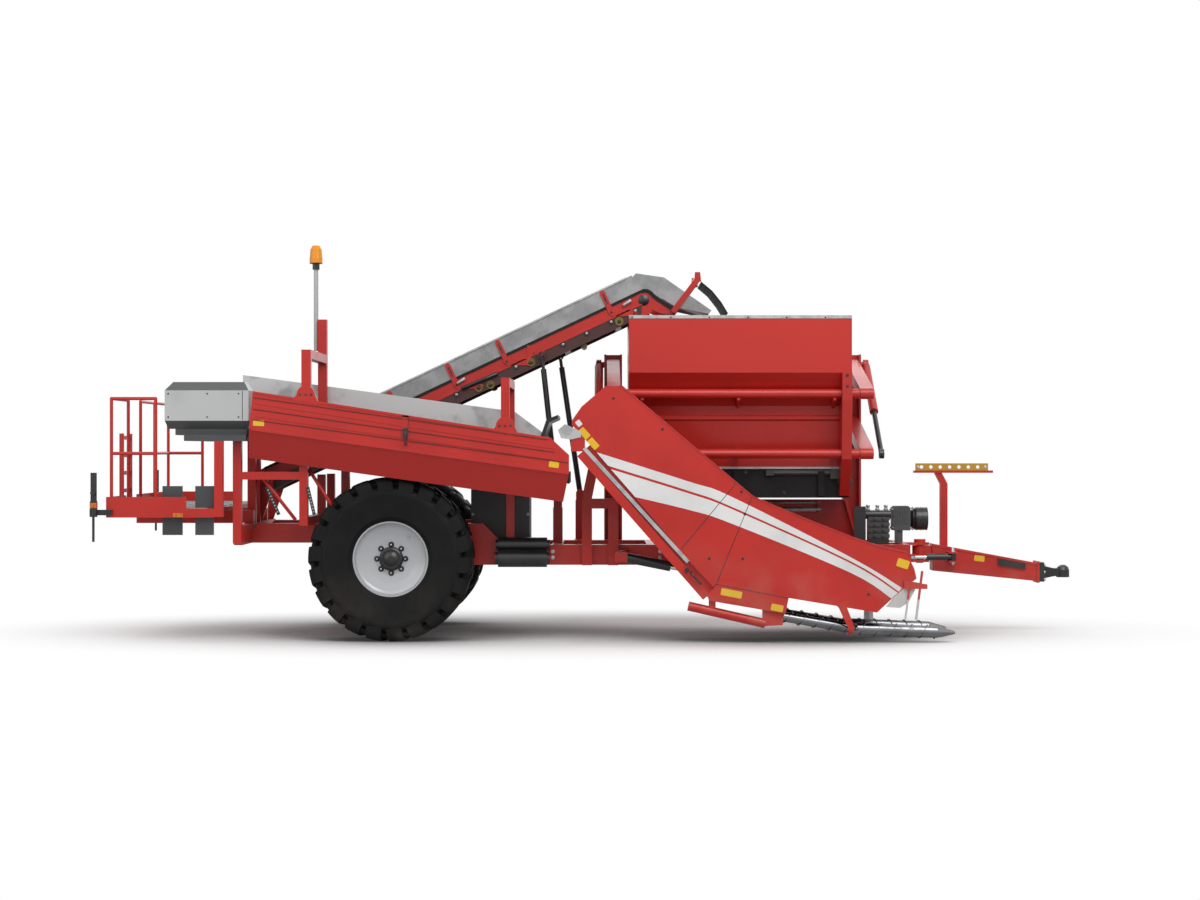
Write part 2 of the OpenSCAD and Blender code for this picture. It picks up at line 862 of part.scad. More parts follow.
module table_guard() {
  color(grey) {
    side([[-3361, 2449], [-775, 2102], [-436, 1849], [-436, bed_z(-436) - bed_t],
          [-3101, bed_z(-3101) - bed_t], [-3101, 1960 + gap],
          [-3361, 1960 + gap]], guard_y);
    side([[-588, bed_z(-588) + gap], [-560, bed_z(-560) + gap], [-415, 1985], [-337, 2020],
          [-337, 2050], [-440, 2012]],
         [-1330, guard_y[0] - 6]);
  }
}

// Gantries over the table.
module gantry(x, top, far_top) {
  near = [panel_y + 22, panel_y + 92];
  far = [guard_y[0] - 80, guard_y[0]];
  table_leg(x, near, top);
  table_leg(x, far, far_top);
  box(x, [near[1], far[0]], [top - 80, top]);
}

module table_leg(x, y, top) {
  side([[x[0], bed_z(x[0]) + gap], [x[1], bed_z(x[1]) + gap], [x[1], top], [x[0], top]], y);
}

module gantries() {
  color(red) {
    gantry([-2636, -2552], 2635, 2973);
    gantry([-848, -771], 2384, 2384);
  }
}

beacon_x = -2658;
beacon_y = -150;

module beacon() {
  color([0.9, 0.6, 0.15]) {
    translate([beacon_x, beacon_y, 2676])
      cylinder(r = 22, h = 780);
    translate([beacon_x, beacon_y, 3449])
      cylinder(r = 34, h = 60);
    translate([beacon_x, beacon_y, 3505])
      cylinder(r = 62, h = 48);
    translate([beacon_x, beacon_y, 3553])
      cylinder(r1 = 62, r2 = 54, h = 90);
    translate([beacon_x, beacon_y, 3640])
      cylinder(r1 = 54, r2 = 34, h = 36);
  }
}

// Cross conveyor behind the table

conveyor_x = [-3780, -3135];

module cross_conveyor() {
  y = [-1275, 30];
  color(dark) {
    for (x = [-3690, rear_x - 38])
      box([x, x + 76], y, conveyor_z);
    box([-3690, -3135], [-1345, -1274], conveyor_z);
    box(conveyor_x, y, [conveyor_z[1], 1960]);
    for (x = [[-3895, -3715], [-3600, -3434]], z = [[970, deck_z[0]], [deck_z[1], 1411]])
      box(x, [-1282, -1264], z);
    box([conveyor_x[0] - 30, conveyor_x[0]], [cover_y, y[1]], [conveyor_z[1], 2230]);
    box([deck_x[1], deck_x[1] + post_w], [-1350, -1274], [1135, conveyor_z[0]]);
  }
}

cover_y = -1060;

// Grey cover over the near end of the cross conveyor.
module conveyor_cover() {
  color(grey)
    intersection() {
      section([[-1350, 1998], [-1350, 2269], [-1270, 2347], [cover_y, 2347], [cover_y, 1960 + gap],
               [-1278, 1960 + gap],
               [-1278, 1925]], [-3900, -3100]);
      side([[-3862, 1998], [-3862, 2269], [-3800, 2347], [-3160, 2347], [-3110, 2269], [-3110, 1998],
            [-3135, 1925], [-3840, 1925]], [-1400, 0]);
    }
}

// Rear platform

deck_x = [-4387, -3419];
deck_y = 1350;
deck_z = [1171, 1211];
toe_top = 1314;
ladder_gap = [-600, -50];
ladder_pin = [-4430, 1190];

module platform() {
  color(red) {
    box(deck_x, [-deck_y, deck_y], deck_z);
    for (s = [-1, 1]) {
      box(deck_x, span(s, deck_y - 60, deck_y), [1129, deck_z[0]]);
      box([deck_x[0], -3670], span(s, deck_y - 20, deck_y), [deck_z[1], toe_top]);
      box([-4300, rear_x + 35], span(s, 380, 460), [rear_top, deck_z[0]]);
    }
    for (y = [[-deck_y + 20, ladder_gap[0]], [ladder_gap[1], deck_y - 20]])
      box([deck_x[0], deck_x[0] + 20], y, [deck_z[1], toe_top]);
    difference() {
      for (y = [-545, -110])
        box([ladder_pin[0] - 22, deck_x[0]], [y, y + 25], [1165, 1212]);
      across(ladder_pin, [-600, 0], 12 + gap);
    }
  }
}

// Guard rails around the platform, open behind for the ladder.
module guard_rails() {
  top = deck_z[1] + guard_h;
  mid = deck_z[1] + guard_h / 2;
  y = deck_y - 40;
  x = deck_x[0] + 40;
  color(red) {
    guard([x, -y], [-3950, -y], top, mid);
    guard([x, y], [-4000, y], top, mid);
    guard([x, -y], [x, ladder_gap[0]], top, mid);
    guard([x, ladder_gap[1]], [x, y], top, mid);
    rod([x, 620, deck_z[1]], [x, 620, top], guard_d / 2);
  }
}

// Two posts and two rails between the points a and b on the deck.
module guard(a, b, top, mid) {
  r = guard_d / 2;
  for (p = [a, b])
    translate([p[0], p[1], deck_z[1]]) {
      cylinder(r = r, h = top - deck_z[1]);
      translate([0, 0, top - deck_z[1]])
        sphere(r = r);
    }
  for (z = [mid, top])
    rod([a[0], a[1], z], [b[0], b[1], z], r);
}

// Ladder, folded up behind the platform.
module ladder() {
  y = [-510, -118];
  x = [ladder_pin[0] - 20, ladder_pin[0] + 20];
  top = 1890;
  color(red) {
    for (c = [y[0], y[1] - 28])
      box(x, [c, c + 28], [ladder_pin[1] - 20, top]);
    for (i = [1 : rung_count])
      box([x[0], x[0] + 30], [y[0] + 28, y[1] - 28],
          around(ladder_pin[1] + i * (top - 40 - ladder_pin[1]) / rung_count, 18));
    across(ladder_pin, [y[0] - 35, y[1] + 33], 12);
  }
}

// Tail lamps on stubs beside the platform.
module tail_lamps() {
  color([0.25, 0.1, 0.1])
    for (s = [-1, 1]) {
      box([-4490, -4330], span(s, deck_y, deck_y + 30), [1150, 1200]);
      box([-4515, -4460], span(s, deck_y + 18, deck_y + 72), [1136, 1279]);
      box([-4515, -4460], span(s, deck_y + 40, deck_y + 50), [1275, 1532]);
      box([-4500, -4480], span(s, deck_y + 38, deck_y + 52), [913, 1140]);
      translate([-4490, s * (deck_y + 50), 1350])
        rotate([-s * 90, 0, 0])
          cylinder(r = 22, h = 30);
    }
}

// Elevator, built along +X from its pivot, then raised to its slope.

elev_top = 130;
elev_floor = -100;
elev_side = 30;
guard_t = 8;

module raised() {
  translate([elev_pivot[0], 0, elev_pivot[1]])
    rotate([0, -elev_slope, 0])
      children();
}

// Points given from the elevator's upper end.
function at_tip(points) = [for (p = points) elev_tip + p];

module elevator_sides() {
  color(red) {
    for (y = [[elev_near + 2, elev_near + elev_side - 2], [elev_far - elev_side + 2, elev_far - 2]])
      side(at_tip([[-78, 83], [2, 110], [267, -67], [237, -112], [142, -112], [2, -52], [-98, -2]]), y);
    for (y = [[elev_near - 20, elev_near + 10], [elev_far - 10, elev_far + 20]])
      across(elev_tip + [242, -80], y, 18);
    for (y = [[elev_near - 24, elev_near - gap], [elev_far + gap, elev_far + 24]])
      side(at_tip([[217, -82], [267, -107], [487, 193], [512, 198], [502, 288], [452, 288], [447, 223]]), y);
    side(at_tip([[452, 208], [502, 208], [502, 248], [452, 248]]), [elev_near - 20, elev_far + 20]);
    raised() {
      for (y = [[elev_near, elev_near + elev_side], [elev_far - elev_side, elev_far]])
        box([-60, elev_len], y, [elev_floor, elev_top]);
      for (x = [700, 1900, 3100, elev_len - 386])
        box([x, x + 60], [elev_near + 1, elev_far - 1], [elev_floor, elev_floor + 60]);
    }
    across(elev_pivot, [elev_near - 46, elev_far + 46], 25);
    across(elev_top_right, [elev_cyl_right - 30, elev_near + 1], 16);
    across(elev_top_left, [elev_far - 1, elev_cyl_left + 30], 16);
  }
}

// Belt with carrier bars.
module elevator_belt() {
  color(dark) {
    side(at_tip([[512 + gap, 198], [617, 110], [707, -2], [770, -107], [756, -112], [694, -10], [608, 100],
                 [508, 186]]), [elev_near - 20, elev_far + 20]);
    raised() {
      box([45, elev_len - 40], [elev_near + elev_side, elev_far - elev_side], [-30, 70]);
      for (x = [200 : 300 : elev_len - 100])
        box([x, x + 24], [elev_near + elev_side, elev_far - elev_side], [70, 124]);
    }
  }
}

// Grey side guards and the head chute over the bunker.
module elevator_guards() {
  head = at_tip([[-198, 191], [-113, 278], [156, 239], [612, -78], [587, -112], [273, -46], [5, 117],
                 [-54, 125], [-98, 110]]);
  color(grey) {
    for (y = [[elev_near, elev_near + guard_t], [elev_far - guard_t, elev_far]])
      raised()
        box([560, elev_len - 30], y, [elev_top, elev_top + 170]);
    for (y = [[elev_near + 1, elev_near + guard_t + 1], [elev_far - guard_t - 1, elev_far - 1]])
      side(head, y);
    side(bar(elev_tip + [142, 50], elev_tip + [592, -102], 16),
         [elev_near + guard_t - 2, elev_far - guard_t + 2]);
  }
}

right_turn = turn_of(elev_top_right - elev_low_right);
left_turn = turn_of(elev_top_left - elev_low_left);
elev_barrel_l = 1262;
elev_rod_l = 1130;

module elev_barrel() { barrel(elev_barrel_l, 27, 16, 30, 16, 40); }
module elev_rod() { piston_rod(elev_rod_l, 16, 38, 27, 36); }

module elev_barrel_right() { color(black) in_side(elev_low_right, elev_cyl_right, right_turn) elev_barrel(); }
module elev_rod_right() { color(black) in_side(elev_top_right, elev_cyl_right, right_turn) elev_rod(); }
module elev_barrel_left() { color(black) in_side(elev_low_left, elev_cyl_left, left_turn) elev_barrel(); }
module elev_rod_left() { color(black) in_side(elev_top_left, elev_cyl_left, left_turn) elev_rod(); }

// Bunker

bunker_x = [310, 2389];
trough = [1283, 1575];

// Outer face of the near side wall at height z.
function wall_y(z) = z > 2150 ? -330 - (z - 2150) * 220 / 307 : -250 - (z - trough[1]) * 80 / 575;

// Side wall outline as [y, z], from its rim down to the floor conveyor.
function wall_outline(f) = [
  [-550 * f, rim_z], [-550 * f, 2457], [-330 * f, 2150], [-250 * f, trough[1]],
  [(-250 + wall_t) * f, trough[1]], [(-330 + wall_t) * f, 2150 + 10], [(-550 + wall_t) * f, 2457 + 12],
  [(-550 + wall_t) * f, rim_z]
];

// Outline of the space between the side walls up to height z.
function inner_outline(z) = [
  [-250 + wall_t, trough[1]], [-330 + wall_t, 2160], [-550 + wall_t, 2469], [-550 + wall_t, z],
  [550 - wall_t, z], [550 - wall_t, 2469], [330 - wall_t, 2160], [250 - wall_t, trough[1]]
];

module bunker_walls() {
  color(red) {
    for (f = [1, -1])
      section(wall_outline(f), bunker_x);
    section(inner_outline(2890), [bunker_x[0], bunker_x[0] + wall_t]);
    section(inner_outline(rim_z), [bunker_x[1] - wall_t, bunker_x[1]]);
    difference() {
      section([[-590, 2457], [-549, 2457], [-329, 2150], [-249, trough[1]], [-252, trough[1]], [-252, 1305],
               [-330, 1305], [-540, 1650], [-590, 2200]], [2296, bunker_x[1]]);
      for (p = [pivot_near_up, pivot_near_low])
        along(p, [2290, 2400], 45 + gap);
    }
  }
}

// Floor conveyor in its trough.
module bunker_floor() {
  color(dark) {
    box([bunker_x[0] - 40, bunker_x[1] + 10], [-250, 250], trough);
    for (x = [500, 1300, 2100])
      box([x, x + 60], [-290, -250], [trough[0] + 20, trough[1] - 40]);
  }
}

// Cross tubes that tie the bunker to the arms, with their brackets.
module bunker_tubes() {
  x = [arm_x[0] - arm_w / 2 - 4, arm_x[1] + arm_w / 2 + 4];
  hub = arm_w / 2 + 6;
  color(red) {
    for (p = [pivot_near_up, pivot_near_low]) {
      along(p, x, arm_pin_r);
      along(p, [arm_x[0] + hub, arm_x[1] - hub], 45);
    }
    for (c = [420, 1320, 2220]) {
      section([[-500, 2262], [-460, 2262], [wall_y(2230) - gap, 2230], [wall_y(2160) - gap, 2160],
               [-338, 2130], [-350, 2130], [-500, 2200]], [c, c + 30]);
      section([[-500, 1740], [wall_y(1740) - gap, 1740], [wall_y(1660) - gap, 1660], [-500, 1660]],
              [c, c + 30]);
    }
  }
}

// Lift arms: a pair with eyes at both ends.
module arm_pair(near, far) {
  for (x = arm_x)
    difference() {
      union() {
        section(bar(near, far, arm_h), around(x, arm_w / 2));
        for (p = [near, far])
          along(p, around(x, arm_w / 2), arm_eye_r);
      }
      for (p = [near, far])
        along(p, around(x, arm_w), arm_pin_r + gap);
    }
}

module upper_arms() { color(red) arm_pair(pivot_near_up, pivot_far_up); }
module lower_arms() { color(red) arm_pair(pivot_near_low, pivot_far_low); }

// Lift cylinders across the arms, from the masts' upper pins to the lower arms' near ends.
lift_off = mast_half + 52;
lift_pin_l = 82;
lift_turn = turn_of(pivot_near_low - pivot_far_up);
lift_x = [arm_x[0] - lift_off, arm_x[1] + lift_off];

module in_section(p, x, t) {
  translate([x, p[0], p[1]])
    rotate([90, 0, 90])
      rotate([0, 0, t])
        children();
}

module lift_barrels() {
  color(black)
    for (x = lift_x)
      in_section(pivot_far_up, x, lift_turn)
        barrel(830, 42, 24, 52, arm_pin_r, 50);
}

module lift_rods() {
  color(steel)
    for (x = lift_x)
      in_section(pivot_near_low, x, lift_turn)
        piston_rod(729, 24, 45, 26, 44);
}

frame_rails();
crossbeams();
axle();
masts();
rear_posts();
table_posts();
pickup_posts();
cylinder_stands();
jack_sleeve();
jack_leg();
tyre_right();
tyre_left();
rim_right();
rim_left();
drawbar();
coupling();
hose_rack();
steer_barrel();
steer_rod();
gearbox();
pto_shield();
pto_shaft();
valve_block();
oil_tank();
pressure_vessels();
pickup_panels();
pickup_bed();
pickup_frame();
pickup_nose();
auger_rear_right();
auger_front_right();
auger_rear_left();
auger_front_left();
pickup_barrel();
pickup_rod();
table_bed();
table_panels();
table_guard();
gantries();
beacon();
cross_conveyor();
conveyor_cover();
platform();
guard_rails();
ladder();
tail_lamps();
elevator_sides();
elevator_belt();
elevator_guards();
elev_barrel_right();
elev_rod_right();
elev_barrel_left();
elev_rod_left();
bunker_walls();
bunker_floor();
bunker_tubes();
upper_arms();
lower_arms();
lift_barrels();
lift_rods();
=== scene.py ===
import math
import bpy
import bmesh
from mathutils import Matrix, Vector


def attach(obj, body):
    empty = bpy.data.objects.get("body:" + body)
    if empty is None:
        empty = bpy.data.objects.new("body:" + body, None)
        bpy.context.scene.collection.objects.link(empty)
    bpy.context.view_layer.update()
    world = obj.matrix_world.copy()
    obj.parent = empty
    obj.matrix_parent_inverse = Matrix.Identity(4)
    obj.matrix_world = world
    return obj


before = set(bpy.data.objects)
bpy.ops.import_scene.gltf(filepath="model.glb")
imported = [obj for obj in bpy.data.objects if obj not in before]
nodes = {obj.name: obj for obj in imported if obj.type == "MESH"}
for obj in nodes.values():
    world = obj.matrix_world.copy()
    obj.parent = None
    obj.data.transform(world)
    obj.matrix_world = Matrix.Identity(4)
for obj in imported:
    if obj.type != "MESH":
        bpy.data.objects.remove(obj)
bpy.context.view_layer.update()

scene = bpy.context.scene
scene.view_settings.view_transform = "Standard"


# colours are written as seen on screen and turned into linear light here
def lin(r, g, b):
    out = []
    for c in (r, g, b):
        c = c / 255
        out.append(c / 12.92 if c <= 0.04045 else ((c + 0.055) / 1.055) ** 2.4)
    return (out[0], out[1], out[2], 1.0)


def scaled(colour, share):
    return tuple(min(1.0, v * share) for v in colour[:3]) + (1.0,)


def grey(level):
    return (level, level, level, 1.0)


tones = {
    "red": lin(193, 39, 30),
    "redDeep": lin(180, 33, 25),
    "primer": lin(206, 96, 84),
    "dust": lin(176, 160, 140),
    "zinc": lin(184, 185, 186),
    "zincDark": lin(160, 162, 163),
    "sheetDark": lin(172, 173, 174),
    "graphite": lin(74, 75, 77),
    "graphiteDark": lin(58, 59, 61),
    # dark grey painted as shade on the conveyor cover's top and lower band
    "coverPaintedShade": lin(94, 95, 96),
    "black": lin(31, 31, 32),
    "rubber": lin(16, 16, 16),
    "rim": lin(182, 184, 187),
    "steel": lin(205, 206, 208),
    "white": lin(232, 232, 231),
    "ochre": lin(186, 142, 44),
    "amber": lin(240, 150, 16),
    "orange": lin(228, 120, 22),
    "yellow": lin(232, 190, 40),
}


# a number is set on the socket, and another node's output is linked to it
def feed(tree, socket, value):
    if isinstance(value, (int, float, tuple)):
        socket.default_value = value
    else:
        tree.links.new(value, socket)


def mathNode(tree, op, a, b, clamp=False):
    n = tree.nodes.new("ShaderNodeMath")
    n.operation = op
    n.use_clamp = clamp
    feed(tree, n.inputs[0], a)
    feed(tree, n.inputs[1], b)
    return n.outputs[0]


def vectorNode(tree, op, a, b=None):
    n = tree.nodes.new("ShaderNodeVectorMath")
    n.operation = op
    feed(tree, n.inputs[0], a)
    if b is not None:
        feed(tree, n.inputs[1], b)
    return n


def ramp(tree, value, low, high):
    n = tree.nodes.new("ShaderNodeMapRange")
    n.interpolation_type = "SMOOTHSTEP"
    feed(tree, n.inputs["Value"], value)
    feed(tree, n.inputs["From Min"], low)
    feed(tree, n.inputs["From Max"], high)
    return n.outputs["Result"]


def mixColour(tree, mask, a, b):
    n = tree.nodes.new("ShaderNodeMix")
    n.data_type = "RGBA"
    feed(tree, n.inputs["Factor"], mask)
    feed(tree, n.inputs[6], a)  # the colour sockets of the mix node
    feed(tree, n.inputs[7], b)
    return n.outputs[2]


def restSpace(tree):
    return tree.nodes.new("ShaderNodeTexCoord").outputs["Object"]


def restAxes(tree):
    sep = tree.nodes.new("ShaderNodeSeparateXYZ")
    feed(tree, sep.inputs[0], restSpace(tree))
    return sep.outputs


def noiseNode(tree, vector, scale, detail, stretch=None):
    if stretch:
        m = tree.nodes.new("ShaderNodeMapping")
        m.inputs["Scale"].default_value = stretch
        feed(tree, m.inputs["Vector"], vector)
        vector = m.outputs[0]
    n = tree.nodes.new("ShaderNodeTexNoise")
    n.inputs["Detail"].default_value = detail
    feed(tree, n.inputs["Scale"], scale)
    feed(tree, n.inputs["Vector"], vector)
    return n.outputs["Fac"]


# shader node groups that the finishes share
def startGroup(name, ins, outs):
    tree = bpy.data.node_groups.new(name, "ShaderNodeTree")
    for label, value in ins:
        s = tree.interface.new_socket(label, in_out="INPUT", socket_type="NodeSocketFloat")
        s.default_value = value
    for label in outs:
        tree.interface.new_socket(label, in_out="OUTPUT", socket_type="NodeSocketFloat")
    return tree, tree.nodes.new("NodeGroupInput").outputs, tree.nodes.new("NodeGroupOutput").inputs


def makeBlotches():
    tree, i, o = startGroup("blotches", (("Scale", 2.0), ("Low", 0.35), ("High", 0.7)), ("Mask",))
    cloud = noiseNode(tree, restSpace(tree), i["Scale"], detail=5.0)
    feed(tree, o["Mask"], ramp(tree, cloud, i["Low"], i["High"]))
    return tree


edgeRub = {"samples": 4, "edge": (0.02, 0.16), "breakScale": 22.0, "breakDetail": 6.0, "broken": (0.45, 0.68)}


def makeEdgeRub():
    tree, i, o = startGroup("edgeRub", (("Radius", 0.004), ("Amount", 0.5)), ("Mask",))
    bevel = tree.nodes.new("ShaderNodeBevel")
    bevel.samples = edgeRub["samples"]
    feed(tree, bevel.inputs["Radius"], i["Radius"])
    geo = tree.nodes.new("ShaderNodeNewGeometry")
    dot = vectorNode(tree, "DOT_PRODUCT", bevel.outputs[0], geo.outputs["Normal"])
    edge = mathNode(tree, "SUBTRACT", 1.0, dot.outputs["Value"], clamp=True)
    rough = noiseNode(tree, restSpace(tree), edgeRub["breakScale"], edgeRub["breakDetail"])
    m = mathNode(tree, "MULTIPLY", ramp(tree, edge, *edgeRub["edge"]), ramp(tree, rough, *edgeRub["broken"]))
    feed(tree, o["Mask"], mathNode(tree, "MULTIPLY", m, i["Amount"]))
    return tree


fieldDust = {"scale": 3.1, "detail": 6.0, "cloud": (0.38, 0.72)}


# dust fades out from the ground up to the height Top
def makeFieldDust():
    tree, i, o = startGroup("fieldDust", (("Top", 0.9), ("Amount", 0.3)), ("Mask",))
    low = mathNode(tree, "SUBTRACT", 1.0, ramp(tree, restAxes(tree)["Z"], 0.0, i["Top"]))
    cloud = noiseNode(tree, restSpace(tree), fieldDust["scale"], fieldDust["detail"])
    m = mathNode(tree, "MULTIPLY", low, ramp(tree, cloud, *fieldDust["cloud"]))
    feed(tree, o["Mask"], mathNode(tree, "MULTIPLY", m, i["Amount"]))
    return tree


def makeFineGrain():
    tree, i, o = startGroup("fineGrain", (("Scale", 400.0),), ("Height",))
    feed(tree, o["Height"], noiseNode(tree, restSpace(tree), i["Scale"], detail=2.0))
    return tree


zincBloom = {"flakesPerCloud": 7.0, "detail": 7.0, "cloud": (0.42, 0.60)}


def makeZincBloom():
    tree, i, o = startGroup("zincBloom", (("Scale", 9.0),), ("Mask", "Flake"))
    at = restSpace(tree)
    flake = tree.nodes.new("ShaderNodeTexVoronoi")
    flake.feature = "F1"
    feed(tree, flake.inputs["Scale"], mathNode(tree, "MULTIPLY", i["Scale"], zincBloom["flakesPerCloud"]))
    feed(tree, flake.inputs["Vector"], at)
    cloud = noiseNode(tree, at, i["Scale"], zincBloom["detail"])
    feed(tree, o["Mask"], ramp(tree, cloud, *zincBloom["cloud"]))
    sep = tree.nodes.new("ShaderNodeSeparateColor")
    feed(tree, sep.inputs[0], flake.outputs["Color"])
    feed(tree, o["Flake"], sep.outputs[0])
    return tree


turnedLines = {"detail": 3.0, "stretch": (14.0, 1.0, 1.0)}  # fine along x, as a lathe leaves them


def makeTurnedLines():
    tree, i, o = startGroup("turnedLines", (("Scale", 60.0),), ("Height",))
    lines = noiseNode(tree, restSpace(tree), i["Scale"], turnedLines["detail"], turnedLines["stretch"])
    feed(tree, o["Height"], lines)
    return tree


groups = {
    "blotches": makeBlotches(),
    "edgeRub": makeEdgeRub(),
    "fieldDust": makeFieldDust(),
    "fineGrain": makeFineGrain(),
    "zincBloom": makeZincBloom(),
    "turnedLines": makeTurnedLines(),
}
print("node groups:", len(groups))


def useGroup(tree, name, **values):
    n = tree.nodes.new("ShaderNodeGroup")
    n.node_tree = groups[name]
    for label, v in values.items():
        n.inputs[label].default_value = v
    return n.outputs


def blotches(tree, scale, low, high):
    return useGroup(tree, "blotches", Scale=scale, Low=low, High=high)["Mask"]


def startFinish(name):
    mat = bpy.data.materials.new(name)
    mat.use_nodes = True
    tree = mat.node_tree
    return mat, tree, tree.nodes["Principled BSDF"].inputs


# roughness that a mask raises or lowers
def roughBy(tree, mask, change, rough):
    return mathNode(tree, "ADD", mathNode(tree, "MULTIPLY", mask, change), rough)


def bumpFrom(tree, bsdf, height, strength, distance):
    b = tree.nodes.new("ShaderNodeBump")
    b.inputs["Strength"].default_value = strength
    b.inputs["Distance"].default_value = distance
    feed(tree, b.inputs["Height"], height)
    feed(tree, bsdf["Normal"], b.outputs[0])


# a coat that rubs little shows zinc at its edges, others show primer
paint = {
    "rubWidth": 0.004, "primerFrom": 0.3, "dustTop": 1.1,
    "dustRough": 0.4, "stainRough": 0.07, "coatRough": 0.12, "shine": 0.4, "bump": (0.06, 0.001),
}


# zones are pairs of (mask maker, colour) painted over the base colour
def paintFinish(name, colour, shade, rough=0.36, metal=0.0, coat=0.2, rub=0.5, dust=0.2, grain=520.0,
                zones=(), stains=(1.7, 0.36, 0.72)):
    mat, tree, bsdf = startFinish(name)
    cloud = blotches(tree, *stains)
    c = mixColour(tree, cloud, colour, shade)
    for maker, tone in zones:
        c = mixColour(tree, maker(tree), c, tone)
    edge = useGroup(tree, "edgeRub", Radius=paint["rubWidth"], Amount=rub)["Mask"]
    c = mixColour(tree, edge, c, tones["primer"] if rub > paint["primerFrom"] else tones["zinc"])
    dirt = useGroup(tree, "fieldDust", Top=paint["dustTop"], Amount=dust)["Mask"]
    feed(tree, bsdf["Base Color"], mixColour(tree, dirt, c, tones["dust"]))
    r = roughBy(tree, dirt, paint["dustRough"], rough)
    feed(tree, bsdf["Roughness"], roughBy(tree, cloud, paint["stainRough"], r))
    bsdf["Metallic"].default_value = metal
    bsdf["Coat Weight"].default_value = coat
    bsdf["Coat Roughness"].default_value = paint["coatRough"]
    bsdf["Specular IOR Level"].default_value = paint["shine"]
    bumpFrom(tree, bsdf, useGroup(tree, "fineGrain", Scale=grain)["Height"], *paint["bump"])
    return mat


zinc = {"paler": 1.12, "flakeMix": 0.35, "cloudRough": 0.16, "bump": (0.03, 0.001)}


def zincFinish(name, light, dark, metal=0.55, rough=0.42, scale=9.0):
    mat, tree, bsdf = startFinish(name)
    bloom = useGroup(tree, "zincBloom", Scale=scale)
    c = mixColour(tree, bloom["Mask"], dark, light)
    flake = mathNode(tree, "MULTIPLY", bloom["Flake"], zinc["flakeMix"])
    feed(tree, bsdf["Base Color"], mixColour(tree, flake, c, scaled(light, zinc["paler"])))
    feed(tree, bsdf["Roughness"], roughBy(tree, bloom["Mask"], zinc["cloudRough"], rough))
    bsdf["Metallic"].default_value = metal
    bumpFrom(tree, bsdf, bloom["Flake"], *zinc["bump"])
    return mat


steel = {"lines": 60.0, "stains": (6.0, 0.4, 0.75), "dim": 0.72, "lineRough": 0.22, "bump": (0.05, 0.001)}


def steelFinish(name, colour, rough=0.18):
    mat, tree, bsdf = startFinish(name)
    line = useGroup(tree, "turnedLines", Scale=steel["lines"])["Height"]
    cloud = blotches(tree, *steel["stains"])
    feed(tree, bsdf["Base Color"], mixColour(tree, cloud, colour, scaled(colour, steel["dim"])))
    feed(tree, bsdf["Roughness"], roughBy(tree, line, steel["lineRough"], rough))
    bsdf["Metallic"].default_value = 1.0
    bumpFrom(tree, bsdf, line, *steel["bump"])
    return mat


rubber = {
    "stains": (5.0, 0.35, 0.75), "worn": 1.35, "dustTop": 0.8, "wornRough": -0.12, "shine": 0.2,
    "bump": (0.16, 0.0015),
}


def rubberFinish(name, colour, rough=0.72, dust=0.35, grain=260.0):
    mat, tree, bsdf = startFinish(name)
    cloud = blotches(tree, *rubber["stains"])
    c = mixColour(tree, cloud, colour, scaled(colour, rubber["worn"]))
    dirt = useGroup(tree, "fieldDust", Top=rubber["dustTop"], Amount=dust)["Mask"]
    feed(tree, bsdf["Base Color"], mixColour(tree, dirt, c, tones["dust"]))
    feed(tree, bsdf["Roughness"], roughBy(tree, cloud, rubber["wornRough"], rough))
    bsdf["Specular IOR Level"].default_value = rubber["shine"]
    bumpFrom(tree, bsdf, useGroup(tree, "fineGrain", Scale=grain)["Height"], *rubber["bump"])
    return mat


lens = {
    "stains": (30.0, 0.4, 0.7), "deep": 0.6, "rough": 0.12, "coat": 0.6, "grain": 180.0,
    "bump": (0.12, 0.002),
}


def lensFinish(name, colour):
    mat, tree, bsdf = startFinish(name)
    cloud = blotches(tree, *lens["stains"])
    feed(tree, bsdf["Base Color"], mixColour(tree, cloud, colour, scaled(colour, lens["deep"])))
    bsdf["Roughness"].default_value = lens["rough"]
    bsdf["Coat Weight"].default_value = lens["coat"]
    bumpFrom(tree, bsdf, useGroup(tree, "fineGrain", Scale=lens["grain"])["Height"], *lens["bump"])
    return mat


# masks by place, in the rest frame in metres, with a soft edge to each side
def step(tree, value, level, soft):
    return ramp(tree, value, level - soft, level + soft)


def bandOf(tree, value, low, high, soft):
    return mathNode(tree, "SUBTRACT", step(tree, value, low, soft), step(tree, value, high, soft), clamp=True)


def axisAbove(axis, level, soft=0.0006):
    def make(tree):
        return step(tree, restAxes(tree)[axis], level, soft)
    return make


def between(axis, low, high, soft=0.0006):
    def make(tree):
        return bandOf(tree, restAxes(tree)[axis], low, high, soft)
    return make


# round about an axis that lies across the machine
def within(x, z, radius, soft=0.001):
    def make(tree):
        flat = vectorNode(tree, "MULTIPLY", restSpace(tree), (1.0, 0.0, 1.0))
        far = vectorNode(tree, "DISTANCE", flat.outputs[0], (x, 0.0, z))
        return mathNode(tree, "SUBTRACT", 1.0, step(tree, far.outputs["Value"], radius, soft))
    return make


def inBox(low, high, soft=0.0004):
    def make(tree):
        axes = restAxes(tree)
        x, y, z = (bandOf(tree, axes[n], a, b, soft) for n, a, b in zip("XYZ", low, high))
        return mathNode(tree, "MULTIPLY", mathNode(tree, "MULTIPLY", x, y), z)
    return make


# everything under the line a to b of the side view, between two x
def underLine(a, b, span, soft=0.001):
    def make(tree):
        n = Vector((a[1] - b[1], b[0] - a[0])).normalized()
        reach = vectorNode(tree, "DOT_PRODUCT", restSpace(tree), (n.x, 0.0, n.y))
        above = step(tree, reach.outputs["Value"], n.x * a[0] + n.y * a[1], soft)
        below = mathNode(tree, "SUBTRACT", 1.0, above)
        return mathNode(tree, "MULTIPLY", below, between("X", *span)(tree))
    return make


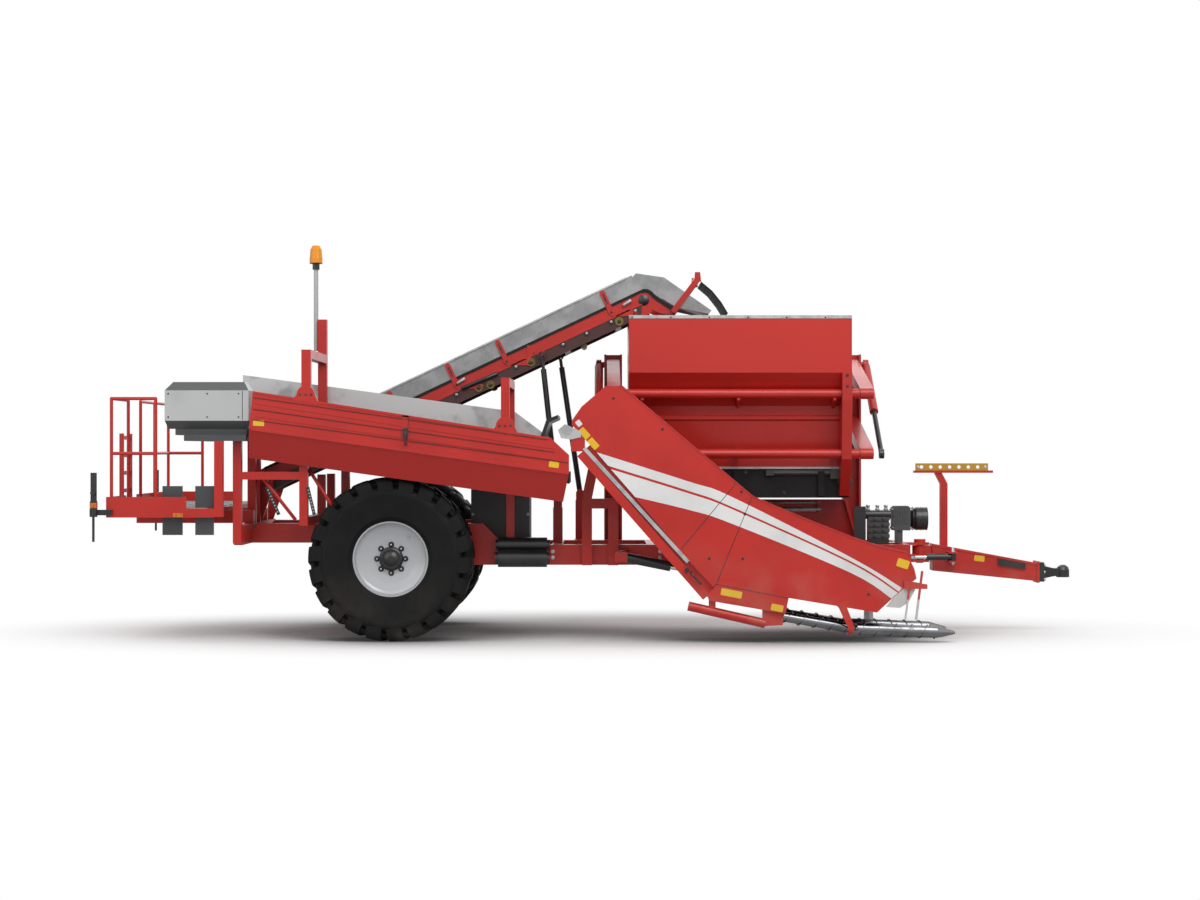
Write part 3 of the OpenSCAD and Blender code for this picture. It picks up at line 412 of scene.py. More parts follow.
# places that more than one piece is told from, in the side view for the last two
axle = Vector((-1.860, 0.0, 0.745))
tableFold = ((-3.101, 1.930), (-0.237, 1.531))
elevatorFoot = (-3.145, 1.438)

# where a second colour starts on a node
zonesOf = {
    "rim": ((within(axle.x, axle.z, 0.103), tones["black"]),),
    "rack": ((axisAbove("Z", 1.5385), tones["ochre"]),),
    "beacon": ((axisAbove("Z", 3.449), tones["black"]), (axisAbove("Z", 3.512), tones["amber"])),
    "towBar": ((inBox((3.82, -0.2, 0.58), (4.10, -0.0955, 0.72)), tones["black"]),),
    "nose": ((inBox((2.70, -1.40, 0.395), (3.0, -1.3345, 0.70)), tones["red"]),
             (inBox((1.60, -1.33, 0.04), (2.40, -0.55, 0.345)), tones["red"])),
    "crossFrame": ((inBox((-3.42, -1.36, 1.0), (-3.30, -1.27, 1.8155)), tones["red"]),),
    # bunker walls take the plain red above this height, over the darker red painted as shade below
    "hopper": ((axisAbove("Z", 2.4565), tones["red"]),),
    # painted shade: the table panel below the fold is painted a darker red where it faces down
    "tableSide": ((underLine(*tableFold, (-3.3, -0.1)), lin(178, 30, 23)),),
    # painted shade: the lower band of the elevator sides is painted dark brown-red for their shadowed inner
    # side
    "rail": ((underLine(elevatorFoot, (0.498, 3.152), (-3.3, 0.44)), lin(70, 36, 33)),),
    "farSheet": ((inBox((-0.62, -1.34, 1.4), (-0.32, -0.114, 2.1)), tones["black"]),),
    # painted shade: the top and a lower band of the conveyor cover are painted dark grey where they are lit
    # less
    "cover": ((axisAbove("Z", 2.2695), tones["coverPaintedShade"]), (between("Z", 1.9, 1.9975), tones["coverPaintedShade"])),
}


def redFinish(name, zones=()):
    return paintFinish(name, tones["red"], tones["redDeep"], zones=zones)


def graphiteFinish(name, zones=()):
    return paintFinish(name, tones["graphite"], tones["graphiteDark"], rough=0.45, coat=0.1, rub=0.25,
                       zones=zones)


finishes = {
    "red": redFinish("redPaint"),
    "rack": redFinish("rackPaint", zonesOf["rack"]),
    "towBar": redFinish("drawbarPaint", zonesOf["towBar"]),
    "tableSide": redFinish("tablePaintWithShade", zonesOf["tableSide"]),
    "rail": redFinish("railPaintWithShade", zonesOf["rail"]),
    # painted shade: the bunker walls' base reds are darker than the plain red, for the shade on the lower
    # walls that lean in
    "hopper": paintFinish("hopperPaintWithShade", lin(182, 34, 26), lin(174, 31, 24), zones=zonesOf["hopper"]),
    # painted shade: thin dark red lines stand for the shade in the table panels' grooves and seams
    "seam": paintFinish("grooveShadePaint", lin(96, 28, 25), lin(84, 24, 22), rough=0.5, coat=0.05, rub=0.0,
                        dust=0.1),
    "graphite": graphiteFinish("graphitePaint"),
    "crossFrame": graphiteFinish("crossFramePaint", zonesOf["crossFrame"]),
    "tank": paintFinish("tankPlastic", lin(88, 89, 91), lin(78, 79, 81), rough=0.5, coat=0.05, rub=0.2),
    "black": paintFinish("blackPaint", tones["black"], lin(38, 38, 39), rough=0.34, coat=0.3, rub=0.2),
    "rim": paintFinish("rimLacquer", tones["rim"], lin(168, 171, 175), rough=0.34, metal=0.2, coat=0.4,
                       rub=0.2, dust=0.15, zones=zonesOf["rim"]),
    "beacon": paintFinish("beaconPaint", tones["zinc"], tones["zincDark"], rough=0.3, rub=0.2, dust=0.0,
                          zones=zonesOf["beacon"]),
    "nose": paintFinish("nosePaint", lin(206, 206, 205), lin(190, 190, 190), rough=0.3, rub=0.2,
                        zones=zonesOf["nose"]),
    "farSheet": paintFinish("farSheet", lin(208, 209, 209), tones["sheetDark"], metal=0.25, rub=0.2,
                            stains=(5.5, 0.5, 0.7), zones=zonesOf["farSheet"]),
    "cover": paintFinish("coverSheetWithShade", lin(188, 189, 189), tones["sheetDark"], rough=0.38, metal=0.3, rub=0.2,
                         zones=zonesOf["cover"]),
    "white": paintFinish("whiteFilm", tones["white"], lin(218, 218, 217), rough=0.32, rub=0.0, dust=0.25),
    "yellow": paintFinish("yellowFilm", tones["yellow"], lin(222, 176, 34), rough=0.34, rub=0.0),
    "roller": paintFinish("rollerYellow", lin(142, 122, 40), lin(118, 100, 36), rough=0.45, coat=0.1,
                          rub=0.2),
    "zinc": zincFinish("hotDipZinc", tones["zinc"], tones["zincDark"]),
    "guard": zincFinish("guardZinc", lin(160, 161, 162), lin(138, 140, 141), metal=0.35, rough=0.36,
                        scale=4.0),
    "steel": steelFinish("polishedSteel", tones["steel"]),
    "torpedo": steelFinish("torpedoSteel", lin(134, 135, 138), rough=0.12),
    "chrome": steelFinish("chromedRod", lin(225, 226, 228), rough=0.06),
    "rubber": rubberFinish("tyreRubber", tones["rubber"], dust=0.07),
    "belt": rubberFinish("beltRubber", lin(30, 30, 31), rough=0.6, dust=0.1, grain=420.0),
    "orange": lensFinish("orangeLens", tones["orange"]),
    "redLens": lensFinish("redLens", lin(190, 24, 20)),
}
print("finishes:", len(finishes))

# CAD nodes under the finish that they wear
wears = {
    "red": ("frame_rails", "crossbeams", "axle", "masts", "rear_posts", "table_posts", "pickup_posts",
            "cylinder_stands", "jack_sleeve", "pickup_panels", "pickup_frame", "gantries", "platform",
            "guard_rails", "ladder", "bunker_tubes", "upper_arms", "lower_arms", "lift_barrels"),
    "black": ("coupling", "steer_barrel", "pto_shield", "valve_block", "pressure_vessels", "pickup_barrel",
              "tail_lamps", "elev_barrel_right", "elev_rod_right", "elev_barrel_left", "elev_rod_left",
              "lift_rods"),
    "belt": ("pickup_bed", "table_bed", "elevator_belt", "bunker_floor"),
    "torpedo": ("auger_rear_right", "auger_front_right", "auger_rear_left", "auger_front_left"),
    "rubber": ("tyre_right", "tyre_left"),
    "rim": ("rim_right", "rim_left"),
    "chrome": ("steer_rod", "pickup_rod"),
    "zinc": ("jack_leg",),
    "steel": ("pto_shaft",),
    "graphite": ("gearbox",),
    "tank": ("oil_tank",),
    "towBar": ("drawbar",),
    "rack": ("hose_rack",),
    "nose": ("pickup_nose",),
    "tableSide": ("table_panels",),
    "farSheet": ("table_guard",),
    "beacon": ("beacon",),
    "crossFrame": ("cross_conveyor",),
    "cover": ("conveyor_cover",),
    "rail": ("elevator_sides",),
    "guard": ("elevator_guards",),
    "hopper": ("bunker_walls",),
}
for finish, names in wears.items():
    for name in names:
        mesh = nodes[name].data
        mesh.materials.clear()
        mesh.materials.append(finishes[finish])
print("finished nodes:", sum(len(names) for names in wears.values()))


# the parts of a bolt of radius 1: where each starts, its sides, and its (height, radius) points
boltShape = {
    "washer": (0.0, 20, ((0, 1.6), (0.28, 1.6), (0.3, 1.5))),
    "head": (0.25, 6, ((0, 1.0), (0.75, 1.0), (0.9, 0.8))),
    "tip": (0.9, 12, ((0, 0.5), (0.45, 0.5), (0.5, 0.4))),
}
tubeEnd = {"ofRadius": 0.15, "ofLength": 0.2}  # the broken edge is the smaller of the two
roundedEdge = {"segments": 2, "angle": 50}


# circle of points about a centre, in the plane of u and v
def ringOf(centre, u, v, r, sides):
    return [centre + (u * math.cos(k) + v * math.sin(k)) * r
            for k in (2 * math.pi * i / sides for i in range(sides))]


# every piece is one mesh, and the pen holds the finish in use
class Piece:
    def __init__(self, name, body, *finishNames):
        self.name = name
        self.body = body
        self.finishNames = finishNames
        self.bm = bmesh.new()
        self.pen = 0

    def use(self, finishName):
        self.pen = self.finishNames.index(finishName)
        return self

    # a face that is there already is left as it is
    def face(self, verts, smooth=False):
        try:
            f = self.bm.faces.new(verts)
        except ValueError:
            return
        f.material_index = self.pen
        f.smooth = smooth

    def loft(self, rings, caps=True, smooth=True):
        rows = [[self.bm.verts.new(p) for p in ring] for ring in rings]
        for a, b in zip(rows, rows[1:]):
            n = len(a)
            for k in range(n):
                self.face((a[k], a[(k + 1) % n], b[(k + 1) % n], b[k]), smooth)
        if caps:
            self.face(list(reversed(rows[0])))
            self.face(rows[-1])

    def box(self, x, y, z):
        ring = [(x[0], y[0]), (x[1], y[0]), (x[1], y[1]), (x[0], y[1])]
        self.loft([[(a, b, h) for a, b in ring] for h in z], smooth=False)

    # outline of (x, z) points between two y levels
    def sideways(self, outline, y0, y1):
        self.loft([[(x, y, z) for x, z in outline] for y in (y0, y1)], smooth=False)

    # outline of (y, z) points between two x levels
    def crossways(self, outline, x0, x1):
        self.loft([[(x, y, z) for y, z in outline] for x in (x0, x1)], smooth=False)

    # profile of (height, radius) points, standing at a place along way
    def turned(self, at, way, profile, sides):
        at, d = Vector(at), Vector(way).normalized()
        u = d.orthogonal().normalized()
        v = d.cross(u)
        self.loft([ringOf(at + d * t, u, v, r, sides) for t, r in profile])

    # round bar with broken edges
    def tube(self, a, b, r, sides):
        run = Vector(b) - Vector(a)
        length = run.length
        e = min(r * tubeEnd["ofRadius"], length * tubeEnd["ofLength"])
        self.turned(a, run, [(0, r - e), (e, r), (length - e, r), (length, r - e)], sides)

    # round wire through points
    def wire(self, points, r, sides=10):
        pts = [Vector(p) for p in points]
        aside = Vector((0.13, 0.97, 0.21))  # along no wire's run, so a ring never turns over
        rings = []
        for i, p in enumerate(pts):
            d = (pts[min(i + 1, len(pts) - 1)] - pts[max(i - 1, 0)]).normalized()
            u = d.cross(aside).normalized()
            v = d.cross(u)
            rings.append(ringOf(p, u, v, r, sides))
        self.loft(rings)

    # hexagon bolt head on a washer, standing out along way
    def bolt(self, at, way, r):
        at, way = Vector(at), Vector(way).normalized()
        for start, sides, shape in boltShape.values():
            self.turned(at + way * r * start, way, [(t * r, w * r) for t, w in shape], sides)

    def done(self, bevel=0.0):
        bmesh.ops.recalc_face_normals(self.bm, faces=self.bm.faces[:])
        mesh = bpy.data.meshes.new(self.name)
        self.bm.to_mesh(mesh)
        self.bm.free()
        for n in self.finishNames:
            mesh.materials.append(finishes[n])
        obj = bpy.data.objects.new(self.name, mesh)
        scene.collection.objects.link(obj)
        if bevel:
            m = obj.modifiers.new("edge", "BEVEL")
            m.width = bevel
            m.segments = roundedEdge["segments"]
            m.limit_method = "ANGLE"
            m.angle_limit = math.radians(roundedEdge["angle"])
        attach(obj, self.body)


# smooth curve through points
def smoothLine(points, steps=6):
    out = []
    n = len(points)
    for i in range(n - 1):
        p0, p1 = points[max(i - 1, 0)], points[i]
        p2, p3 = points[i + 1], points[min(i + 2, n - 1)]
        for k in range(steps):
            t = k / steps
            out.append(tuple(0.5 * (2 * b + (c - a) * t + (2 * a - 5 * b + 4 * c - d) * t * t
                                    + (3 * b - a - 3 * c + d) * t ** 3)
                             for a, b, c, d in zip(p0, p1, p2, p3)))
    out.append(tuple(points[-1]))
    return out


# two levels of y about a face, mirrored for the far side
def levels(face, pair, side=1):
    return tuple(face + side * v for v in pair)


# height of a sloping line of the side view at x
def levelAt(line, x):
    (x0, z0), (x1, z1) = line
    return z0 + (x - x0) * (z1 - z0) / (x1 - x0)


# ring with a closed section of (radius, height) points about an axis
def hoop(p, centre, way, section, sides=72):
    u = way.orthogonal().normalized()
    v = way.cross(u)
    rings = []
    for i in range(sides + 1):
        a = 2 * math.pi * i / sides
        d = u * math.cos(a) + v * math.sin(a)
        rings.append([centre + d * r + way * h for r, h in section])
    p.loft(rings, caps=False)


# points round an axis that lies across the machine
def onCircle(centre, pitch, count):
    for i in range(count):
        a = 2 * math.pi * i / count
        yield centre + Vector((math.cos(a), 0, math.sin(a))) * pitch


# points at equal steps along a line
def evenly(points, count):
    tiny = 1e-9
    lengths = [0.0]
    for a, b in zip(points, points[1:]):
        lengths.append(lengths[-1] + math.dist(a, b))
    out = []
    for i in range(count):
        want = lengths[-1] * i / (count - 1)
        k = max(j for j in range(len(points) - 1) if lengths[j] <= want + tiny)
        t = (want - lengths[k]) / max(lengths[k + 1] - lengths[k], tiny)
        out.append(tuple(a + (b - a) * min(t, 1.0) for a, b in zip(points[k], points[k + 1])))
    return out


# film between two edges of (x, z) points, standing from y0 out to y1
def film(p, upper, lower, y0, y1, count=40):
    up, down = evenly(smoothLine(upper), count), evenly(smoothLine(lower), count)
    p.loft([[(a[0], y0, a[1]), (b[0], y0, b[1]), (b[0], y1, b[1]), (a[0], y1, a[1])]
            for a, b in zip(up, down)], smooth=False)


# flat strip of width w along the line a to b in the side view
def strip(p, a, b, w, y0, y1):
    a, b = Vector(a), Vector(b)
    n = (b - a).normalized()
    n = Vector((-n.y, n.x)) * (w / 2)
    p.sideways([a + n, b + n, b - n, a - n], y0, y1)


labelShape = {"corner": 0.15, "cornerSteps": 3, "y": (0.0004, -0.0012)}  # corner as a share of the small side


# blank label with rounded corners on a face that looks to the right side
def label(p, x, z, w, h, turn, face):
    r = min(w, h) * labelShape["corner"]
    steps = labelShape["cornerSteps"]
    c, n = math.cos(math.radians(turn)), math.sin(math.radians(turn))
    ring = []
    for cx, cz, start in ((w / 2 - r, h / 2 - r, 0), (r - w / 2, h / 2 - r, 90),
                          (r - w / 2, r - h / 2, 180), (w / 2 - r, r - h / 2, 270)):
        for k in range(steps + 1):
            t = math.radians(start + 90 * k / steps)
            a, b = cx + r * math.cos(t), cz + r * math.sin(t)
            ring.append((x + a * c - b * n, z + a * n + b * c))
    p.sideways(ring, *levels(face, labelShape["y"]))


wheelTrim = {
    "discFace": 1.037,
    "studs": 8, "studPitch": 0.129, "studSize": 0.017,
    "studCore": [(0.006, 0.008), (0.026, 0.008), (0.028, 0.006)],
    "capFace": 1.079,
    "cap": [(-0.001, 0.070), (0.004, 0.068), (0.006, 0.05), (0.012, 0.046), (0.014, 0.02)],
    "capBolts": 12, "capPitch": 0.082, "capBoltSize": 0.006, "capBoltSunk": 0.003,
    "collarFace": 1.043,
    "collar": [(0.103, -0.01), (0.103, 0.004), (0.108, 0.004), (0.112, -0.01)],
    "valveAt": (0.16, 1.045, 0.20),
    "valve": [(-0.01, 0.008), (0.03, 0.008), (0.032, 0.006), (0.045, 0.006)],
}


def dressWheel(name, body, side):
    w = wheelTrim
    way = Vector((0, side, 0))

    def onAxle(face):
        return Vector((axle.x, side * face, axle.z))

    p = Piece(name, body, "steel", "black", "rim")
    for at in onCircle(onAxle(w["discFace"]), w["studPitch"], w["studs"]):
        p.use("black").bolt(at, way, w["studSize"])
        p.use("steel").turned(at, way, w["studCore"], sides=14)
    cap = onAxle(w["capFace"])
    p.use("black").turned(cap, way, w["cap"], sides=40)
    for at in onCircle(cap, w["capPitch"], w["capBolts"]):
        p.bolt(at - way * w["capBoltSunk"], way, w["capBoltSize"])
    hoop(p, onAxle(w["collarFace"]), way, w["collar"])
    x, y, z = w["valveAt"]
    p.use("rim").turned((axle.x + x, side * y, axle.z + z), way, w["valve"], sides=12)
    p.done()


pickupStripes = {
    "face": -1.320, "proud": 0.0016,
    # upper and lower edge of each white band
    "bands": (
        ([(0.010, 1.714), (0.848, 1.448), (1.207, 1.322), (2.302, 0.766), (2.750, 0.496)],
         [(0.112, 1.594), (0.848, 1.364), (1.207, 1.232), (2.302, 0.730), (2.724, 0.462)]),
        ([(0.139, 1.562), (0.848, 1.342), (1.207, 1.212), (2.284, 0.721), (2.714, 0.452)],
         [(0.356, 1.313), (0.848, 1.195), (1.207, 1.080), (2.284, 0.636), (2.655, 0.402)]),
    ),
    # x, z, width, height and turn
    "labels": ((-0.100, 1.884, 0.105, 0.060, -48), (-0.020, 1.792, 0.105, 0.060, -48),
               (1.22, 0.448, 0.19, 0.062, -10.8), (1.63, 0.318, 0.11, 0.06, -10.8),
               (2.76, 0.715, 0.11, 0.075, -18)),
    "plate": (-0.150, 1.975, 0.046, 0.056, 38),
}


def stripePickup():
    k = pickupStripes
    face = k["face"]
    p = Piece("pickup_stripes", "pickup", "white", "yellow")
    for upper, lower in k["bands"]:
        film(p, upper, lower, face, face - k["proud"])
    p.use("yellow")
    for spot in k["labels"]:
        label(p, *spot, face)
    p.use("white")
    label(p, *k["plate"], face)
    p.done()


pickupTrim = {
    "face": -1.320, "farFace": -0.705,
    "seams": (((1.257, 1.430), (0.772, 0.850)), ((1.404, 1.313), (1.090, 0.545)),
              ((1.083, 0.530), (1.733, 0.406))),
    "seamWidth": 0.006, "seamY": (0.002, -0.0022),
    # folded lip along the upper edge of both panels
    "lip": [(0.232, 2.309), (1.413, 1.313), (1.835, 1.134), (2.308, 0.947), (2.553, 0.864), (2.792, 0.811)],
    "lipRise": 0.003, "lipWidth": 0.012, "lipY": (-0.006, 0.036),
    "edgeAngle": ((-0.104, 1.753), (0.830, 0.730)), "edgeWidth": 0.034, "edgeY": (-0.006, 0.032),
    "headPlate": [(-0.274, 1.968), (-0.337, 1.914), (-0.310, 1.843), (-0.220, 1.829), (-0.130, 1.850),
                  (-0.130, 1.900)],
    "headPlateY": (-0.006, 0.004),
    "headBox": ((-0.222, -0.095), (1.722, 1.880)), "headBoxY": (0.004, 0.080),
    "knob": (0.821, 0.658), "knobY": (-0.032, 0.002), "knobSize": 0.022,
    # lever as (x, out from the face, z)
    "lever": [(0.860, 0.002, 0.640), (0.860, 0.028, 0.628), (0.880, 0.032, 0.606), (0.935, 0.030, 0.545),
              (0.948, 0.026, 0.532)],
    "leverSize": 0.010,
    "bolts": ((0.16, 2.20), (0.60, 1.92), (1.31, 1.36), (1.34, 1.16), (1.02, 0.76), (1.32, 0.76),
              (2.45, 0.44)),
    "boltSize": 0.008,
}


def dressPickup():
    k = pickupTrim
    face = k["face"]
    p = Piece("pickup_trim", "pickup", "red", "zinc", "black")
    # black strips painted as the shade in the pickup panels' seams
    p.use("black")
    for a, b in k["seams"]:
        strip(p, a, b, k["seamWidth"], *levels(face, k["seamY"]))
    p.use("red")
    for panel in (face, k["farFace"]):
        for a, b in zip(k["lip"], k["lip"][1:]):
            m = Vector(b) - Vector(a)
            n = Vector((-m.y, m.x)).normalized() * k["lipRise"]
            strip(p, Vector(a) + n, Vector(b) + n, k["lipWidth"], *levels(panel, k["lipY"]))
    p.use("zinc")
    strip(p, *k["edgeAngle"], k["edgeWidth"], *levels(face, k["edgeY"]))
    p.sideways(k["headPlate"], *levels(face, k["headPlateY"]))
    x, z = k["headBox"]
    p.use("red").box(x, levels(face, k["headBoxY"]), z)
    x, z = k["knob"]
    p.use("black").tube(*((x, y, z) for y in levels(face, k["knobY"])), k["knobSize"], sides=20)
    p.wire([(x, face - out, z) for x, out, z in k["lever"]], k["leverSize"])
    for x, z in k["bolts"]:
        p.bolt((x, face, z), (0, -1, 0), k["boltSize"])
    p.done(bevel=0.002)


bunkerTrim = {
    "x": (0.310, 2.389),
    # folded cap of a long wall as (y, z), mirrored for the near wall
    "wallCap": [(0.556, 2.962), (0.556, 2.992), (0.504, 2.992), (0.504, 2.984), (0.549, 2.984),
                (0.549, 2.962)],
    "floorLine": [(-0.262, 1.556), (-0.262, 1.576), (-0.248, 1.576), (-0.248, 1.556)],
    "floorLinePast": (-0.035, 0.008),
    # half width and height where the wall starts to lean in, and its lean
    "wallFold": (0.330, 2.150), "wallLean": 0.080 / 0.575,
    # rib along the leaning wall as (out, up)
    "rib": ((-0.006, -0.03), (0.016, -0.014), (0.018, 0.014), (-0.002, 0.03)),
    "ribZ": 2.038, "ribPast": (0.02, -0.095),
    "cornerStrip": ((0.549, 2.462), (0.5535, 2.462), (0.5535, 2.974), (0.549, 2.974)), "cornerWidth": 0.012,
    "boltX": (0.34, 0.70, 1.06, 1.42, 1.78, 2.14),
    "capBolt": (-0.556, 2.972), "capBoltSize": 0.005,
    "floorBoltY": 0.250, "floorBoltZ": (1.33, 1.52), "floorBoltSize": 0.010,
    "armBolts": ((2.342, -0.590, 2.33), (2.342, -0.590, 2.43)), "armBoltSize": 0.009,
    "bearingX": (0.335, 2.352), "bearingY": 0.252, "bearingZ": 1.43,
    "bearing": [(0, 0.075), (0.02, 0.075), (0.028, 0.06), (0.05, 0.03)],
    "driveCap": ((2.215, 2.310), (-0.300, -0.248), (1.462, 1.554)),
    "driveClip": ((1.606, 1.682), (-0.298, -0.248), (1.494, 1.546)),
    "driveHood": [(-0.248, 1.494), (-0.270, 1.500), (-0.278, 1.516), (-0.274, 1.532), (-0.262, 1.544),
                  (-0.248, 1.548)],
    "driveHoodX": (1.682, 2.215),
}


def dressBunker():
    k = bunkerTrim
    x0, x1 = k["x"]
    p = Piece("bunker_trim", "bunker", "red", "zinc", "black", "graphite")
    p.use("zinc")
    for s in (-1, 1):
        p.crossways([(s * y, z) for y, z in k["wallCap"]], x0, x1)
    before, after = k["floorLinePast"]
    p.crossways(k["floorLine"], x0 + before, x1 + after)
    p.use("red")
    foldY, foldZ = k["wallFold"]
    ribZ = k["ribZ"]
    ribY = foldY - (foldZ - ribZ) * k["wallLean"]
    before, after = k["ribPast"]
    for s in (-1, 1):
        p.crossways([(s * (ribY + a), ribZ + b) for a, b in k["rib"]], x0 + before, x1 + after)
        for x in (x0, x1 - k["cornerWidth"]):
            p.crossways([(s * a, b) for a, b in k["cornerStrip"]], x, x + k["cornerWidth"])
    p.use("black")
    for x in k["boltX"]:
        p.bolt((x, *k["capBolt"]), (0, -1, 0), k["capBoltSize"])
        for z in k["floorBoltZ"]:
            for s in (-1, 1):
                p.bolt((x, s * k["floorBoltY"], z), (0, s, 0), k["floorBoltSize"])
    for at in k["armBolts"]:
        p.bolt(at, (0, -1, 0), k["armBoltSize"])
    p.use("graphite")
    p.box(*k["driveCap"])
    p.box(*k["driveClip"])
    p.crossways(k["driveHood"], *k["driveHoodX"])
    p.use("black")
    for x in k["bearingX"]:
        for s in (-1, 1):
            p.turned((x, s * k["bearingY"], k["bearingZ"]), (0, s, 0), k["bearing"], sides=28)
    p.done(bevel=0.002)


bunkerRest = {
    "y": 0.280, "thick": 0.010,
    "sheet": [(1.440, 0.852), (2.550, 0.852), (2.430, 1.258), (1.560, 1.258)],
    "feetX": (1.450, 2.490), "footWidth": 0.050, "footY": (-0.060, 0.070), "footZ": (0.852, 0.864),
    "sideRibs": (((1.470, 0.860), (1.580, 1.250)), ((2.520, 0.860), (2.410, 1.250))),
    "sideRibWidth": 0.014, "sideRibY": (-0.045, 0.002),
    "topRib": ((1.560, 2.430), (1.246, 1.258)), "topRibY": (-0.030, 0.002),
    # ends in x, out from the sheet, z, radius and sides
    "tubes": ((1.600, 2.170, 0.026, 1.226, 0.012, 16), (1.600, 2.180, 0.030, 1.160, 0.022, 20)),
    "clipX": (1.640, 2.140), "clipWidth": 0.016, "clipY": (-0.050, 0.002), "clipZ": (1.130, 1.244),
}


# red rest between two crossbeams, just under the bunker's floor
def makeBunkerRest():
    k = bunkerRest
    y = k["y"]
    p = Piece("bunker_rest", "frame", "red", "zinc")
    p.sideways(k["sheet"], y, y + k["thick"])
    for x in k["feetX"]:
        p.box((x, x + k["footWidth"]), levels(y, k["footY"]), k["footZ"])
    for a, b in k["sideRibs"]:
        strip(p, a, b, k["sideRibWidth"], *levels(y, k["sideRibY"]))
    x, z = k["topRib"]
    p.box(x, levels(y, k["topRibY"]), z)
    p.use("zinc")
    for x0, x1, out, z, r, sides in k["tubes"]:
        p.tube((x0, y - out, z), (x1, y - out, z), r, sides)
    p.use("red")
    for x in k["clipX"]:
        p.box((x, x + k["clipWidth"]), levels(y, k["clipY"]), k["clipZ"])
    p.done(bevel=0.0015)


tableTrim = {
    "face": -1.380,
    "top": ((-3.068, 2.259), (-0.401, 1.842)),
    # creases at shares of the height between fold and top
    "creases": (0.36, 0.70), "creaseX": (-3.05, -0.36), "creaseWidth": 0.016, "creaseY": (0.002, -0.005),
    "lowerEdgeX": (-3.08, -0.24), "lowerEdgeWidth": 0.030, "lowerEdgeY": (0.003, -0.007),
    "upperEdge": ((-3.066, 2.252), (-0.402, 1.836)), "upperEdgeWidth": 0.020, "upperEdgeY": (-0.006, 0.026),
    "splitX": -1.70, "splitWidth": 0.060, "splitY": (0.002, -0.006),
    "catch": ((-1.722, -1.678), (1.84, 1.93)), "catchY": (-0.026, -0.005),
    # catch handle as (out from the face, z)
    "handle": ((0.024, 1.90), (0.034, 1.88), (0.034, 1.80), (0.024, 1.775)), "handleSize": 0.008,
    # shoes that hold the panel to the gantry posts
    "shoeX": (-2.594, -0.810), "shoeHalf": 0.125, "shoeRound": 0.082, "shoeRise": 0.045, "shoeDrop": 0.03,
    "shoeY": (0.019, -0.004), "shoeSteps": 12,
    "shoeBolts": (-0.05, 0.0, 0.05), "shoeBoltOut": 0.004, "shoeBoltSize": 0.007,
    "seams": (((-3.058, 2.204), (-0.44, 1.829)), ((-3.062, 2.100), (-0.363, 1.714)),
              ((-3.070, 2.006), (-0.248, 1.621))),
    "seamWidth": 0.007, "seamY": (0.001, -0.0062),
    "splitSeam": ((-1.672, 2.03), (-1.690, 1.73)), "splitSeamY": (0.001, -0.0066),
    "labels": ((-3.015, 1.976, 0.10, 0.052, -3), (-0.372, 1.604, 0.09, 0.052, -8)),
}


def foldLevel(x):
    return levelAt(tableFold, x)


def topLevel(x):
    return levelAt(tableTrim["top"], x)


def dressTable():
    k = tableTrim
    face = k["face"]
    p = Piece("table_trim", "frame", "red", "black", "yellow", "seam")
    for share in k["creases"]:
        line = [(x, foldLevel(x) + share * (topLevel(x) - foldLevel(x))) for x in k["creaseX"]]
        strip(p, *line, k["creaseWidth"], *levels(face, k["creaseY"]))
    line = [(x, foldLevel(x)) for x in k["lowerEdgeX"]]
    strip(p, *line, k["lowerEdgeWidth"], *levels(face, k["lowerEdgeY"]))
    strip(p, *k["upperEdge"], k["upperEdgeWidth"], *levels(face, k["upperEdgeY"]))
    split = k["splitX"]
    strip(p, (split, foldLevel(split)), (split, topLevel(split)), k["splitWidth"], *levels(face, k["splitY"]))
    p.use("black")
    x, z = k["catch"]
    p.box(x, levels(face, k["catchY"]), z)
    p.wire([(split, face - out, z) for out, z in k["handle"]], k["handleSize"])
    p.use("red")
    half, r, n = k["shoeHalf"], k["shoeRound"], k["shoeSteps"]
    for x in k["shoeX"]:
        ring = [(c, topLevel(c) - k["shoeDrop"]) for c in (x + half, x - half)]
        ring += [(x - r * math.cos(t), topLevel(x) + k["shoeRise"] + r * math.sin(t))
                 for t in (math.pi * i / n for i in range(n + 1))]
        p.sideways(ring, *levels(face, k["shoeY"]))
    # dark lines painted as the shade in the panel grooves
    p.use("seam")
    for a, b in k["seams"]:
        strip(p, a, b, k["seamWidth"], *levels(face, k["seamY"]))
    strip(p, *k["splitSeam"], k["seamWidth"], *levels(face, k["splitSeamY"]))
    p.use("black")
    for x in k["shoeX"]:
        for d in k["shoeBolts"]:
            at = (x + d, face - k["shoeBoltOut"], topLevel(x) + k["shoeRise"])
            p.bolt(at, (0, -1, 0), k["shoeBoltSize"])
    p.use("yellow")
    for spot in k["labels"]:
        label(p, *spot, face)
    p.done(bevel=0.002)


